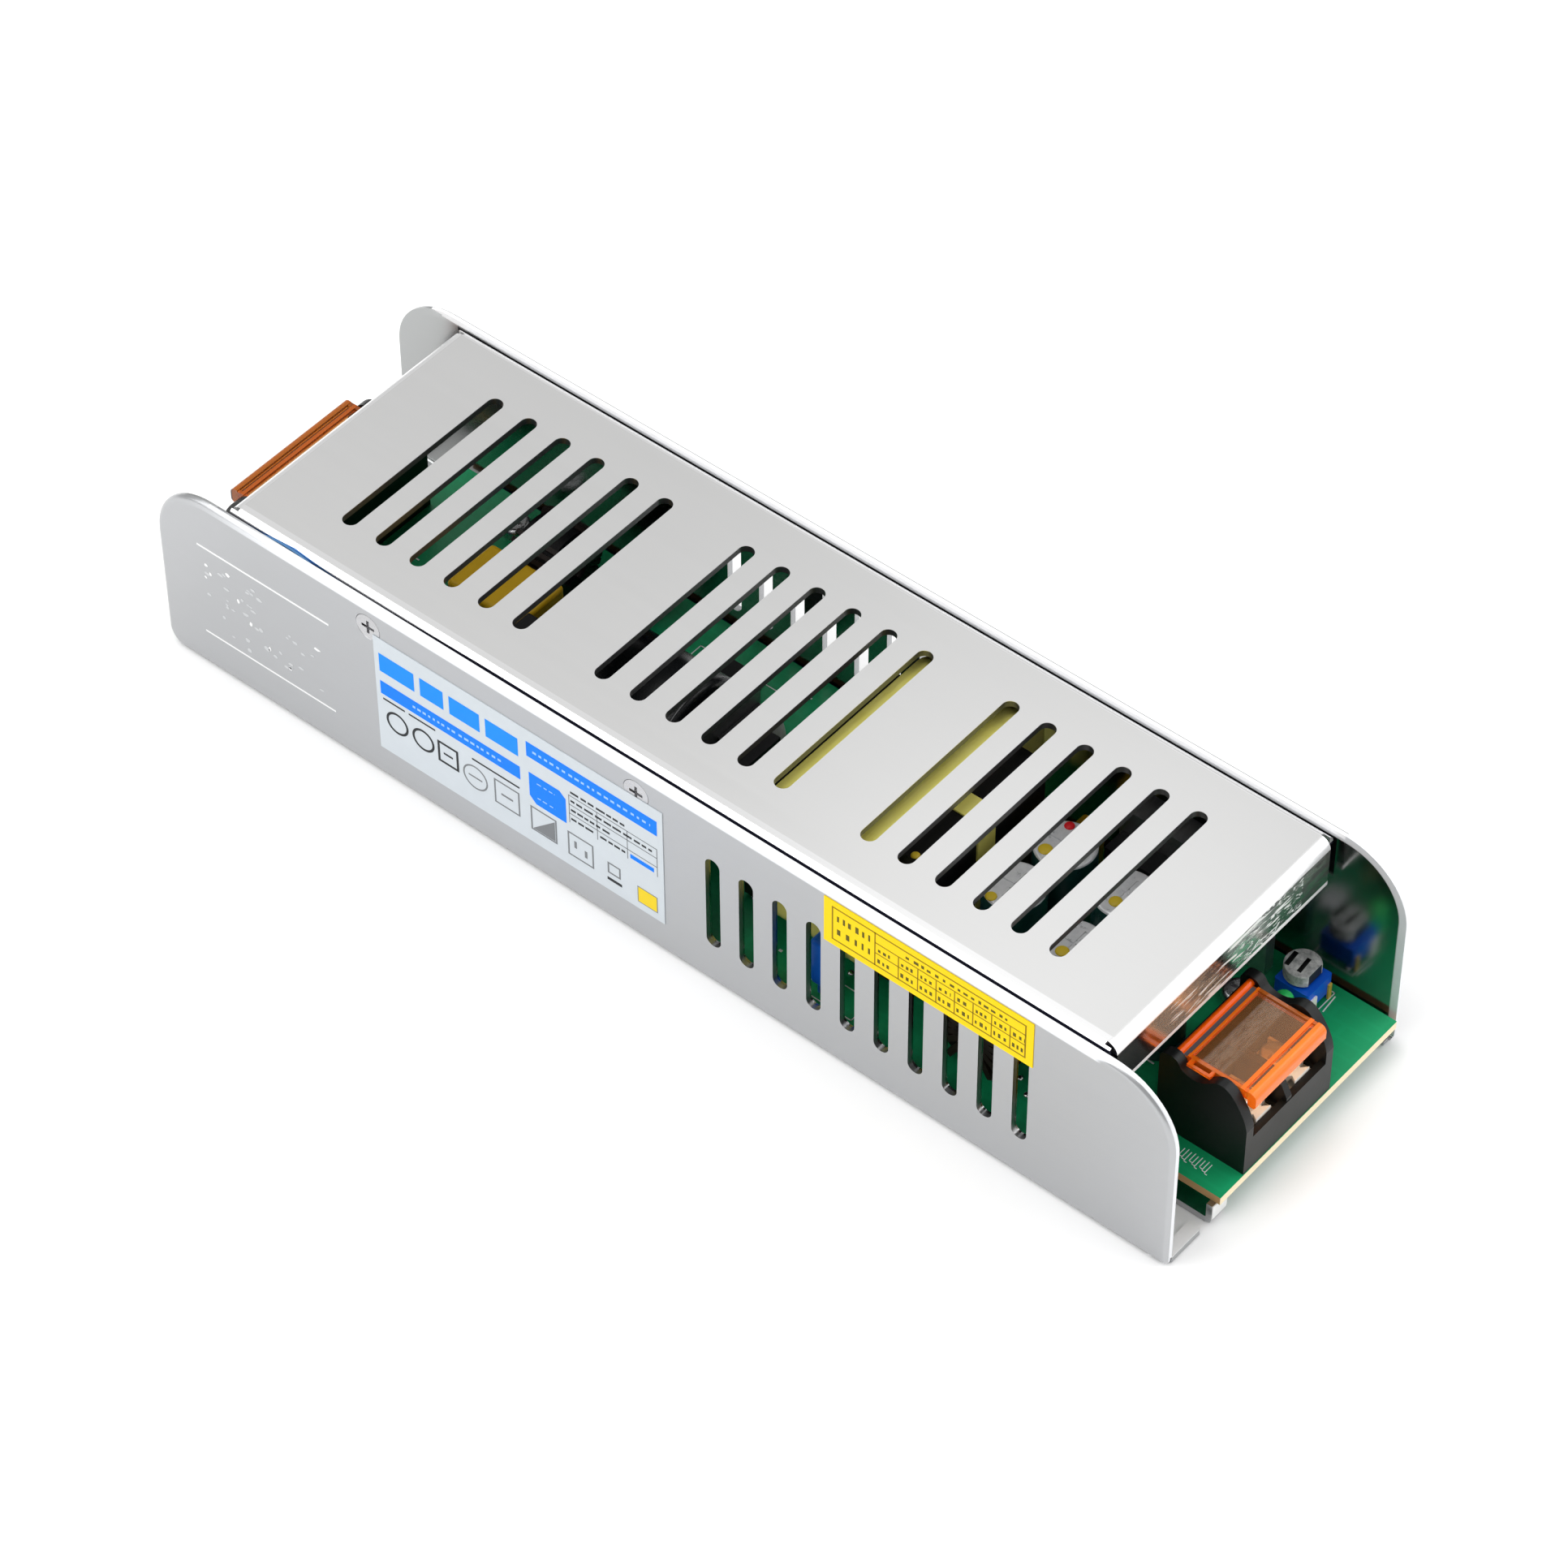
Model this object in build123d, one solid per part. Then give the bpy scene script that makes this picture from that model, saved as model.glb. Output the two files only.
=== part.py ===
from build123d import *
import os
from math import sin, cos, pi, radians

# ---------------------------------------------------------------- frame
# X runs along the case, +X to the two-pole output end; Y runs across it,
# -Y to the labelled wall; Z is up.  The origin is on the floor face, under
# the middle of the case.  Millimetres.

# ---------------------------------------------------------------- driving sizes
LEN = 200.0          # length over the walls
WID = 57.5           # width over the walls
HGT = 37.2           # height of the walls
T = 1.2              # sheet thickness of case and cover
EDGE_R = 0.95        # rounding on the outer rim of the walls
EAR_R = 12.0         # big corner of the wall ends
IN_Y = WID / 2 - T   # inner face of a wall

COV_X0, COV_X1 = -85.7, 86.9      # cover, outside of its end flanges
COV_W = 54.4                      # cover, outside width
COV_Z = 37.05                     # cover, top face
COV_R = 1.9                       # outer bend radius of the cover
COV_SKIRT = 8.6                   # depth of the long flanges
COV_END = 9.5                     # depth of the end flanges

TOP_SLOT_W = 2.8
TOP_SLOT_Y = (-17.8, 18.2)
TOP_SLOT_X0, TOP_SLOT_P, TOP_GROUP_P = -69.06, 7.02, 51.58

SIDE_SLOT_W, SIDE_SLOT_Z = 2.8, (8.6, 27.8)
SIDE_SLOT_P = 6.47
NEAR_SLOT_X0, FAR_SLOT_X0 = 14.2, -29.1

SCREW_X = (-54.6, -0.6, 53.4)
SCREW_Z = 32.3

PCB_Z0, PCB_T = 4.2, 1.6
PCB_Z1 = PCB_Z0 + PCB_T
PCB_X, PCB_Y = 100.7, 26.7
NOTCH_X, NOTCH_Y = 86.0, 17.1     # corner cut-outs of the board

HOOK_X0, HOOK_X1 = 86.0, 97.2     # open mounting slot in the floor corner
HOOK_Y = 18.1
TAB_X1 = 99.7
LUG_X = 100.2

POLE = 9.5                         # terminal pitch
OUT_C, IN_C = -0.85, 1.2           # middle of the output and input blocks
BLK_X = 100.6                      # front face of a block
BLK_D = 16.1                       # depth of a block
HINGE_X, HINGE_Z, HINGE_R = 86.45, 20.8, 0.65

TRIM_X, TRIM_Y = 86.5, 21.7


# ---------------------------------------------------------------- helpers
def box(x0, x1, y0, y1, z0, z1):
    return Pos((x0 + x1) / 2, (y0 + y1) / 2, (z0 + z1) / 2) * Box(x1 - x0, y1 - y0, z1 - z0)


def cyl_z(x, y, z0, z1, r):
    return Pos(x, y, (z0 + z1) / 2) * Cylinder(r, z1 - z0)


def cyl_x(x0, x1, y, z, r):
    return Pos((x0 + x1) / 2, y, z) * Rot(0, 90, 0) * Cylinder(r, x1 - x0)


def cyl_y(x, y0, y1, z, r):
    return Pos(x, (y0 + y1) / 2, z) * Rot(90, 0, 0) * Cylinder(r, y1 - y0)


def prism_y(face_fn, y0, y1):
    """Sketch drawn in X,Z and pushed from y0 to y1."""
    pl = Plane(origin=(0, y1, 0), x_dir=(1, 0, 0), z_dir=(0, -1, 0))
    return extrude(pl * face_fn, amount=y1 - y0)


def prism_x(face_fn, x0, x1):
    """Sketch drawn in Y,Z and pushed from x0 to x1."""
    pl = Plane(origin=(x0, 0, 0), x_dir=(0, 1, 0), z_dir=(1, 0, 0))
    return extrude(pl * face_fn, amount=x1 - x0)


def prism_z(face_fn, z0, z1):
    return extrude(Plane(origin=(0, 0, z0)) * face_fn, amount=z1 - z0)


def poly(*pts):
    return make_face(Polyline(*pts, close=True))


def slot_z(x, y0, y1, w, z0, z1):
    """Stadium hole through Z, long along Y."""
    sk = Pos(x, (y0 + y1) / 2) * SlotOverall(y1 - y0, w, rotation=90)
    return prism_z(sk, z0, z1)


def slot_y(x, z0, z1, w, y0, y1):
    """Stadium hole through Y, long along Z."""
    sk = Pos(x, (z0 + z1) / 2) * SlotOverall(z1 - z0, w, rotation=90)
    return prism_y(sk, y0, y1)


def spun(shape):
    """The same shape turned half a turn about Z."""
    return Rot(0, 0, 180) * shape


def solids(*shapes):
    out = []
    for s in shapes:
        out += list(s.solids())
    return out


parts = {}


def add(name, *shapes):
    ss = solids(*shapes)
    parts[name] = ss[0] if len(ss) == 1 else Compound(children=ss)


# ---------------------------------------------------------------- chassis
# One folded sheet: floor, two walls that run past the cover as ears, an open
# hook slot in two opposite floor corners and a short upturned lug beside it.
outer = Pos(0, HGT / 2) * Rectangle(WID, HGT)
outer = fillet([v for v in outer.vertices() if v.Y < 1], 1.5)
inner = Pos(0, T + HGT / 2 + 5) * Rectangle(WID - 2 * T, HGT + 10)
inner = fillet([v for v in inner.vertices() if v.Y < T + 1], 0.4)
u = prism_x(outer - inner, -LEN / 2, LEN / 2)


def side_outline(left_low):
    s = Pos(0, HGT / 2) * Rectangle(LEN, HGT)
    s = fillet([v for v in s.vertices() if v.Y > 1], EAR_R)
    s = fillet([v for v in s.vertices() if v.Y < 1 and v.X > 0], 1.4)
    s = fillet([v for v in s.vertices() if v.Y < 0.01 and v.X < -90], left_low)
    return s


def wall_tool(left_low, near):
    """Side outline with its outer rim already rounded."""
    if near:
        t = prism_y(side_outline(left_low), -WID / 2, 0)
        rim = [e for e in t.edges() if abs(e.center().Y + WID / 2) < 0.01 and e.center().Z > 5]
    else:
        t = prism_y(side_outline(left_low), 0, WID / 2)
        rim = [e for e in t.edges() if abs(e.center().Y - WID / 2) < 0.01 and e.center().Z > 5]
    return fillet(rim, EDGE_R)


near_w = u & wall_tool(3.6, True)
far_w = u & wall_tool(1.4, False)
chassis = near_w + far_w
# floor ends stand back under the board, apart from the hook corners
for sgn in (1, -1):
    cutter = box(97.6, 101, -16.0, 26.9, -1, T + 0.6) - box(97.6, 99.5, 25.6, 27.0, -2, T + 1)
    cutter = cutter if sgn == 1 else spun(cutter)
    chassis = chassis - cutter
# open hook slot with relief notches, closed at its mouth by a round-ended finger
hook = Pos((HOOK_X0 + 101) / 2, -(IN_Y - 0.5 + HOOK_Y) / 2) * Rectangle(101 - HOOK_X0, IN_Y - 0.5 - HOOK_Y)
hook = fillet([v for v in hook.vertices() if v.X < HOOK_X0 + 1], 1.5)
hook = prism_z(hook, -1, T + 0.7)
notches = box(HOOK_X1 - 0.9, HOOK_X1, -IN_Y - 0.45, -IN_Y + 1.0, -1, T + 0.7) + \
    box(TAB_X1, 101, -IN_Y - 0.45, -IN_Y + 1.0, -1, T + 0.7)
FING_X0, FING_X1, FING_Y = HOOK_X1 + 0.4, TAB_X1 + 0.1, HOOK_Y + 1.7
finger = Pos((FING_X0 + FING_X1) / 2, -(WID / 2 - 1.5 + FING_Y) / 2) * Rectangle(FING_X1 - FING_X0, WID / 2 - 1.5 - FING_Y)
finger = fillet([v for v in finger.vertices() if v.Y > -FING_Y - 1], 1.0)
finger = prism_z(finger, 0, T)
for s in (hook, notches):
    chassis = chassis - s - spun(s)
chassis = chassis + finger + spun(finger)
# upturned lug that carries the board corner
lug = prism_y(poly((97.0, 0), (LUG_X - 1.4, 0), (LUG_X - 0.4, 0.4), (LUG_X, 1.4), (LUG_X, PCB_Z0),
                   (LUG_X - T, PCB_Z0), (LUG_X - T, 1.4), (LUG_X - 1.4, T), (97.0, T)),
              -HOOK_Y, -14.6)
chassis = chassis - box(97.0, 101, -HOOK_Y, -14.6, -1, 2) - spun(box(97.0, 101, -HOOK_Y, -14.6, -1, 2))
chassis = chassis + lug + spun(lug)
# vent slots of the two walls
for i in range(10):
    chassis = chassis - slot_y(NEAR_SLOT_X0 + i * SIDE_SLOT_P, *SIDE_SLOT_Z, SIDE_SLOT_W, -WID, -20)
    chassis = chassis - slot_y(FAR_SLOT_X0 + i * SIDE_SLOT_P, *SIDE_SLOT_Z, SIDE_SLOT_W, 20, WID)
# countersunk holes for the cover screws
SCR_R, HEAD_R = 1.45, 2.4
for x in SCREW_X:
    for s in (-1, 1):
        cone = Pos(x, s * (WID / 2 - T / 2), SCREW_Z) * Rot(-90 * s, 0, 0) * Cone(SCR_R + 0.15, HEAD_R + 0.1, T + 0.02)
        chassis = chassis - cone
# four standoffs are staked into the floor
STAND = [(-47.4, -22.0), (-70.0, 21.0), (72.5, -21.0), (79.6, 15.5)]
for x, y in STAND:
    chassis = chassis - cyl_z(x, y, -1, T + 0.1, 1.9)
add("chassis", chassis)

# ---------------------------------------------------------------- cover
cw = COV_W / 2
prof = Pos(0, COV_Z - COV_SKIRT / 2) * Rectangle(COV_W, COV_SKIRT)
prof = fillet([v for v in prof.vertices() if v.Y > COV_Z - 0.1], COV_R)
pin = Pos(0, COV_Z - T - COV_SKIRT / 2) * Rectangle(COV_W - 2 * T, COV_SKIRT)
pin = fillet([v for v in pin.vertices() if v.Y > COV_Z - T - 0.1], COV_R - T)
cover = prism_x(prof - pin, COV_X0 + 0.6, COV_X1 - 0.7)
endp = Pos((COV_X0 + COV_X1) / 2, COV_Z - COV_END / 2) * Rectangle(COV_X1 - COV_X0, COV_END)
endp = fillet([v for v in endp.vertices() if v.Y > COV_Z - 0.1], COV_R)
endi = Pos((COV_X0 + COV_X1) / 2, COV_Z - T - COV_END / 2) * Rectangle(COV_X1 - COV_X0 - 2 * T, COV_END)
endi = fillet([v for v in endi.vertices() if v.Y > COV_Z - T - 0.1], COV_R - T)
cut_end = box(COV_X0 - 1, COV_X0 + 2.1, -40, 40, 20, 40) + box(COV_X1 - 2.1, COV_X1 + 1, -40, 40, 20, 40)
cover = (cover - (cut_end & box(-200, 200, -cw + 1.6, cw - 1.6, 20, 40))) + prism_y(endp - endi, -cw + 1.6, cw - 1.6)
# little reliefs where the folds meet
for sx in (COV_X0 + 0.9, COV_X1 - 0.9):
    for sy in (-1, 1):
        cover = cover - box(sx - 1.0, sx + 1.0, sy * (cw - 1.3) - 0.3, sy * (cw - 1.3) + 0.3, 20, 40)
        cover = cover - box(sx - 1.0, sx + 1.0, min(sy * (cw - 1.1), sy * (cw + 1)), max(sy * (cw - 1.1), sy * (cw + 1)), 20, COV_Z - 2.2)
top_x = [TOP_SLOT_X0 + g * TOP_GROUP_P + k * TOP_SLOT_P for g in range(3) for k in range(6)]
for x in top_x:
    cover = cover - slot_z(x, *TOP_SLOT_Y, TOP_SLOT_W, COV_Z - 3, COV_Z + 1)
for x in SCREW_X:
    for s in (-1, 1):
        cover = cover - cyl_y(x, min(s * (cw - 2), s * (cw + 1)), max(s * (cw - 2), s * (cw + 1)), SCREW_Z, SCR_R + 0.02)
cover = max(cover.solids(), key=lambda s: s.volume)
add("cover", cover)

# cover screws: countersunk head flush with the wall, cross recess
scr = []
for x in SCREW_X:
    for s in (-1, 1):
        head = Cone(SCR_R, HEAD_R, T)
        head = Pos(0, 0, -T / 2) * head
        shank = Pos(0, 0, -T - 1.9) * Cylinder(SCR_R, 3.8)
        cross = Pos(0, 0, -0.3) * (Box(2.6, 0.55, 0.8) + Box(0.55, 2.6, 0.8))
        one = (head + shank) - cross
        one = Pos(x, s * (WID / 2 - 0.02), SCREW_Z) * Rot(-90 * s, 0, 0) * one
        scr.append(one)
add("cover_screws", *scr)

# ---------------------------------------------------------------- insulating sheet
FILM = 0.2
fy = -IN_Y + 0.04
film = prism_x(poly((fy, 27.9), (fy, T + 0.55), (fy + 0.5, T + 0.02), (IN_Y - 0.9, T + 0.02), (IN_Y - 0.9, T + FILM),
                    (fy + 0.6, T + FILM), (fy + FILM, T + 0.6), (fy + FILM, 27.9)), -92.0, 8.0)
# its raised ear leans in over the bend of the cover and ends in an arc
ear = make_face([ThreePointArc((-82.0, 35.2), (-72.6, HGT - 0.2), (-63.2, 35.2)), Line((-63.2, 35.2), (-65.5, 27.5)),
                 Line((-65.5, 27.5), (-80.5, 27.5)), Line((-80.5, 27.5), (-82.0, 35.2))])
lean = prism_x(poly((fy, 27.0), (fy + FILM, 27.0), (fy + FILM, 35.4), (fy + FILM + 0.45, 37.1), (fy + 0.25, 37.1), (fy, 35.4)), -83, -62)
film = film + (prism_y(ear, fy - 1, fy + 2) & lean)
for x, y in STAND:
    film = film - cyl_z(x, y, T - 1, T + 2, 3.4)
film = film - box(-101, -82, 15.5, 30, 0, 3)
add("insulating_sheet", film)

# ---------------------------------------------------------------- board and what carries it
pcb = box(-PCB_X, PCB_X, -PCB_Y, PCB_Y, PCB_Z0, PCB_Z1)
nt = box(NOTCH_X, PCB_X + 1, -PCB_Y - 1, -NOTCH_Y, PCB_Z0 - 1, PCB_Z1 + 1)
pcb = pcb - nt - spun(nt)
for x, y in STAND:
    pcb = pcb - cyl_z(x, y, PCB_Z0 - 1, PCB_Z1 + 1, 1.6)
add("circuit_board", pcb)

add("board_standoffs", *[(cyl_z(x, y, T, PCB_Z0, 2.9) + cyl_z(x, y, 0.0, T, 1.9)) - cyl_z(x, y, 0.6, PCB_Z0 + 1, 1.25)
                         for x, y in STAND])
bs = []
for x, y in STAND:
    h = cyl_z(x, y, PCB_Z1, PCB_Z1 + 1.9, 2.7)
    h = fillet(h.edges().filter_by(GeomType.CIRCLE).sort_by(Axis.Z)[-1:], 0.9)
    h = h + cyl_z(x, y, 1.0, PCB_Z1, 1.2)
    h = h - (Pos(x, y, PCB_Z1 + 1.7) * (Box(3.0, 0.6, 1.4) + Box(0.6, 3.0, 1.4)))
    bs.append(h)
add("board_screws", *bs)


# ---------------------------------------------------------------- terminal blocks
# Built at the output end, pushing out towards +X; the input block is the
# same design with three poles, turned half a turn.
def wing_profile():
    """Side wall of a block in X,Z: low back ear, dip, hump and a long rounded nose."""
    x0 = BLK_X - BLK_D
    top = [(x0, 20.5), (x0 + 0.45, 21.5), (x0 + 1.7, 21.95), (x0 + 3.1, 21.6), (x0 + 3.9, 20.5), (x0 + 5.0, 19.9),
           (x0 + 7.2, 19.9), (x0 + 8.7, 20.8), (x0 + 10.0, 21.8), (x0 + 11.3, 22.1), (x0 + 12.8, 21.4),
           (x0 + 14.3, 19.6), (x0 + 15.5, 17.4), (BLK_X, 15.2)]
    edges = [Line((x0, PCB_Z1), top[0]), Spline(*top), Line(top[-1], (BLK_X, PCB_Z1)), Line((BLK_X, PCB_Z1), (x0, PCB_Z1))]
    return make_face(edges)


def block(n, c):
    half = n * POLE / 2 + 1.15
    y0, y1 = c - half, c + half
    wall = 1.75
    x0 = BLK_X - BLK_D
    b = box(x0, BLK_X, y0, y1, PCB_Z1, 12.9)                       # base and front lip
    b = b - box(BLK_X - 9.6, BLK_X - 1.2, y0 + wall, y1 - wall, 11.3, 14)   # floor of the pockets
    b = b + box(x0, x0 + 1.5, y0 + wall - 0.2, y1 - wall + 0.2, PCB_Z1, 18.6)        # back wall
    b = b + box(x0, BLK_X - 9.6, y0 + wall - 0.2, y1 - wall + 0.2, PCB_Z1, 15.0)     # step behind the screws
    for yy in (y0, y1 - wall):
        b = b + prism_y(wing_profile(), yy, yy + wall)
    for k in range(1, n):
        yd = c - n * POLE / 2 + k * POLE
        d = poly((x0, PCB_Z1), (BLK_X - 0.1, PCB_Z1), (BLK_X - 0.1, 13.6), (BLK_X - 1.2, 15.9), (BLK_X - 4.0, 17.6), (x0, 17.6))
        b = b + prism_y(d, yd - 0.6, yd + 0.6)
    # seats of the clamp screws and contact strips
    for k in range(n):
        yc = c - n * POLE / 2 + (k + 0.5) * POLE
        b = b - box(BLK_X - 9.61, BLK_X - 1.19, yc - 3.5, yc + 3.5, 10.6, 12.0)
        b = b - cyl_z(BLK_X - 6.2, yc, 6.6, 12, 1.75)
    # bearing holes of the flap
    b = b - cyl_y(HINGE_X, y0 + 0.5, y1 - 0.5, HINGE_Z, HINGE_R + 0.06)
    b = b - box(x0 + 1.5, HINGE_X + 1.6, y0 + wall, y1 - wall, 18.6, 26)
    return b


def flap(n, c):
    """Clear flip cover: hinge bar and web, rimmed thin panel, a snap loop on one side and a thick rounded front bar."""
    half = n * POLE / 2 + 1.15 - 1.75 - 0.3
    y0, y1 = c - half, c + half
    bar = cyl_y(HINGE_X, y0 - 1.0, y1 + 1.0, HINGE_Z, HINGE_R)
    web = box(HINGE_X, 88.2, y0, y1, 20.35, 20.8)
    panel = box(88.0, 99.4, y0, y1, 20.4, 20.95)
    back = box(88.0, 88.4, y0, y1, 20.0, 21.15)
    sides = box(88.0, 99.4, y0, y0 + 0.75, 19.7, 21.3) + box(88.0, 99.4, y1 - 0.6, y1, 19.7, 21.2)
    rib = box(97.5, 98.15, y0, y1, 20.4, 21.35)
    nose = Pos(99.65, 19.9) * Rectangle(1.5, 3.0)
    nose = fillet([v for v in nose.vertices() if v.X > 99.5 and v.Y > 20], 1.1)
    nose = fillet([v for v in nose.vertices() if v.Y < 19], 0.6)
    nose = prism_y(nose, y0, y1)
    loop = box(88.8, 93.0, y0 - 1.3, y0 + 0.1, 20.8, 21.3) - box(89.4, 92.5, y0 - 0.8, y0, 20, 23)
    return bar + web + panel + back + sides + rib + nose + loop


def block_parts(n, c):
    screws, plates, contacts = [], [], []
    for k in range(n):
        yc = c - n * POLE / 2 + (k + 0.5) * POLE
        xs = BLK_X - 6.2
        # contact strip in the pocket floor, with its tail through the board
        strip = box(BLK_X - 9.5, BLK_X - 1.3, yc - 3.3, yc + 3.3, 10.62, 11.3) - cyl_z(xs, yc, 10, 12, 1.62)
        contacts.append(strip)
        # clamp plate: square washer with two turned-up edges and a tongue
        pl = box(xs - 3.2, xs + 3.0, yc - 3.1, yc + 3.1, 11.36, 12.06)
        pl = pl + box(xs - 3.2, xs + 3.0, yc - 3.1, yc - 2.55, 11.36, 13.0) + box(xs - 3.2, xs + 3.0, yc + 2.55, yc + 3.1, 11.36, 13.0)
        tongue = prism_z(poly((xs + 2.8, yc - 1.5), (xs + 3.2, yc - 1.5), (xs + 3.9, yc - 1.0), (xs + 4.95, yc - 1.8), (xs + 4.95, yc + 1.8), (xs + 3.9, yc + 1.0), (xs + 3.2, yc + 1.5), (xs + 2.8, yc + 1.5)), 11.36, 14.5)
        tongue = tongue & prism_y(poly((xs + 2.8, 11.36), (xs + 3.2, 11.36), (xs + 3.7, 12.5), (xs + 4.95, 12.95), (xs + 4.95, 13.6), (xs + 3.3, 13.1), (xs + 2.8, 12.06)), yc - 2, yc + 2)
        pl = pl + tongue
        pl = pl - cyl_z(xs, yc, 11, 14, 1.62)
        plates.append(pl)
        # binding screw with a cross and slot recess
        hd = cyl_z(xs, yc, 12.1, 14.4, 2.45)
        hd = fillet(hd.edges().filter_by(GeomType.CIRCLE).sort_by(Axis.Z)[-1:], 0.5)
        hd = hd + cyl_z(xs, yc, 7.2, 12.1, 1.5)
        hd = hd - (Pos(xs, yc, 14.1) * (Box(4.0, 0.7, 1.4) + Box(0.7, 3.2, 1.4)))
        screws.append(hd)
    return screws, plates, contacts


ob = block(2, OUT_C)
add("output_block", ob)
add("output_flap", flap(2, OUT_C))
s_, p_, c_ = block_parts(2, OUT_C)
add("output_terminal_screws", *s_)
add("output_clamp_plates", *p_)
add("output_contacts", *c_)

add("input_block", spun(block(3, -IN_C)))
add("input_flap", spun(flap(3, -IN_C)))
s_, p_, c_ = block_parts(3, -IN_C)
add("input_terminal_screws", *[spun(s) for s in s_])
add("input_clamp_plates", *[spun(s) for s in p_])
add("input_contacts", *[spun(s) for s in c_])

# ---------------------------------------------------------------- trimmer and lamp
TB0, TB1 = 6.9, 10.5
tb = box(TRIM_X - 2.9, TRIM_X + 3.4, TRIM_Y - 3.1, TRIM_Y + 3.1, TB0, TB1)
tb = fillet(tb.edges().filter_by(Axis.Z), 0.35)
tb = tb - cyl_z(TRIM_X, TRIM_Y, TB1 - 1.8, TB1 + 1, 1.05)
pins = [cyl_z(TRIM_X + dx, TRIM_Y + dy, PCB_Z1, TB0, 0.35) for dx, dy in ((2.2, -2.3), (2.2, 2.3), (-2.0, 0))]
for p in pins:
    tb = tb + p
for dy, hw, zt in ((-2.0, 0.9, 2.3), (2.3, 0.4, 2.0)):      # flat legs bent down the front
    tb = tb + box(TRIM_X + 3.3, TRIM_X + 3.75, TRIM_Y + dy - hw, TRIM_Y + dy + hw, PCB_Z1, TB0 + zt)
add("trimmer_body", tb)
td = cyl_z(TRIM_X, TRIM_Y, TB1 + 0.45, TB1 + 2.6, 2.95)
td = fillet(td.edges().filter_by(GeomType.CIRCLE).sort_by(Axis.Z)[-1:], 0.2)
td = td - box(TRIM_X + 2.3, TRIM_X + 4, TRIM_Y - 4, TRIM_Y + 4, TB1, TB1 + 3)
td = td - (Pos(TRIM_X + 0.36, TRIM_Y - 0.25, TB1 + 2.5) * Rot(0, 0, 5) * Box(0.75, 3.2, 1.5))
td = td - (Pos(TRIM_X - 1.94, TRIM_Y - 0.3, TB1 + 2.5) * Rot(0, 0, 5) * Box(0.85, 3.1, 1.5))
td = td + cyl_z(TRIM_X, TRIM_Y, TB1 - 1.6, TB1 + 0.5, 1.0)
add("trimmer_dial", td)

LED_X, LED_Y, LED_R = 87.5, 15.7, 1.6
led = cyl_z(LED_X, LED_Y, PCB_Z1 + 1.2, PCB_Z1 + 5.0, LED_R)
led = led + (Pos(LED_X, LED_Y, PCB_Z1 + 5.0) * Sphere(LED_R))
led = led + cyl_z(LED_X, LED_Y, PCB_Z1 + 1.2, PCB_Z1 + 2.1, LED_R + 0.35)
led = led + box(LED_X - 1.5, LED_X - 1.0, LED_Y - 0.25, LED_Y + 0.25, PCB_Z1, PCB_Z1 + 1.3)
led = led + box(LED_X + 1.0, LED_X + 1.5, LED_Y - 0.25, LED_Y + 0.25, PCB_Z1, PCB_Z1 + 1.3)
add("status_lamp", led)

# ---------------------------------------------------------------- mains side
# glass fuse in two clips
fz = PCB_Z1 + 4.2
add("fuse", cyl_x(-80.5, -60.5, -18.6, fz, 2.6))
clip = []
for x0 in (-80.0, -66.2):
    c = box(x0, x0 + 5.2, -21.9, -15.3, PCB_Z1, fz + 1.8) - cyl_x(x0 - 1, x0 + 7, -18.6, fz, 2.66)
    c = c - box(x0 - 1, x0 + 7, -20.4, -16.8, fz, fz + 6)
    c = c - box(x0 - 1, x0 + 7, -21.3, -15.9, PCB_Z1 + 0.7, fz - 3.0)
    clip.append(c)
add("fuse_clips", *clip)


def disc(x, y, z, r, t, ang=0.0):
    d = Rot(90, 0, 0) * Cylinder(r, t)
    d = fillet(d.edges().filter_by(GeomType.CIRCLE), t * 0.42)
    legs = Pos(-r * 0.5, 0, -(z - PCB_Z1) / 2) * Box(0.6, 0.6, z - PCB_Z1) + Pos(r * 0.5, 0, -(z - PCB_Z1) / 2) * Box(0.6, 0.6, z - PCB_Z1)
    return Pos(x, y, z) * Rot(0, 0, ang) * (d + legs)


add("varistor", disc(-64.0, -10.0, PCB_Z1 + 8.0, 5.4, 3.4, 90))
add("inrush_thermistor", disc(-77.2, -9.6, PCB_Z1 + 9.2, 6.0, 4.0, 8))
# yellow film capacitor across the line
xc = box(-59.5, -44.2, -6.4, 4.6, PCB_Z1 + 0.3, 22.2)
xc = fillet(xc.edges().filter_by(Axis.Z) + xc.faces().sort_by(Axis.Z)[-1].edges(), 0.9)
for dx in (-58.0, -45.8):
    xc = xc + cyl_z(dx, -0.9, PCB_Z1, PCB_Z1 + 0.6, 0.4)
add("line_capacitor", xc)
# line filter: ring core on edge in its winding
ck_x, ck_y, ck_z, ck_r = -55.0, 13.6, PCB_Z1 + 8.8, 7.6
core = Pos(ck_x, ck_y, ck_z) * Rot(0, 90, 0) * (Cylinder(ck_r - 1.2, 7.4) - Cylinder(3.2, 9))
turns = []
for s in (1, -1):
    for a in range(-60, 61, 12):
        ang = radians(a) if s == 1 else radians(180 + a)
        rm = (ck_r - 1.2 + 3.2) / 2
        cy_, cz_ = ck_y + rm * cos(ang), ck_z + rm * sin(ang)
        blk = Box(9.2, ck_r - 3.2 + 0.3, 0.78) - Box(7.48, ck_r - 3.2 - 1.12, 3)
        blk = fillet([e for e in blk.edges().filter_by(Axis.Z) if abs(abs(e.center().X) - 4.6) < 0.1], 0.7)
        turns.append(Pos(ck_x, cy_, cz_) * Rot(a if s == 1 else 180 + a, 0, 0) * blk)
base = box(ck_x - 5.4, ck_x + 5.4, ck_y - 7.4, ck_y + 7.4, PCB_Z1, PCB_Z1 + 0.95)
add("filter_choke_core", core)
add("filter_choke_coils", *turns)
add("filter_choke_base", base)
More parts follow.
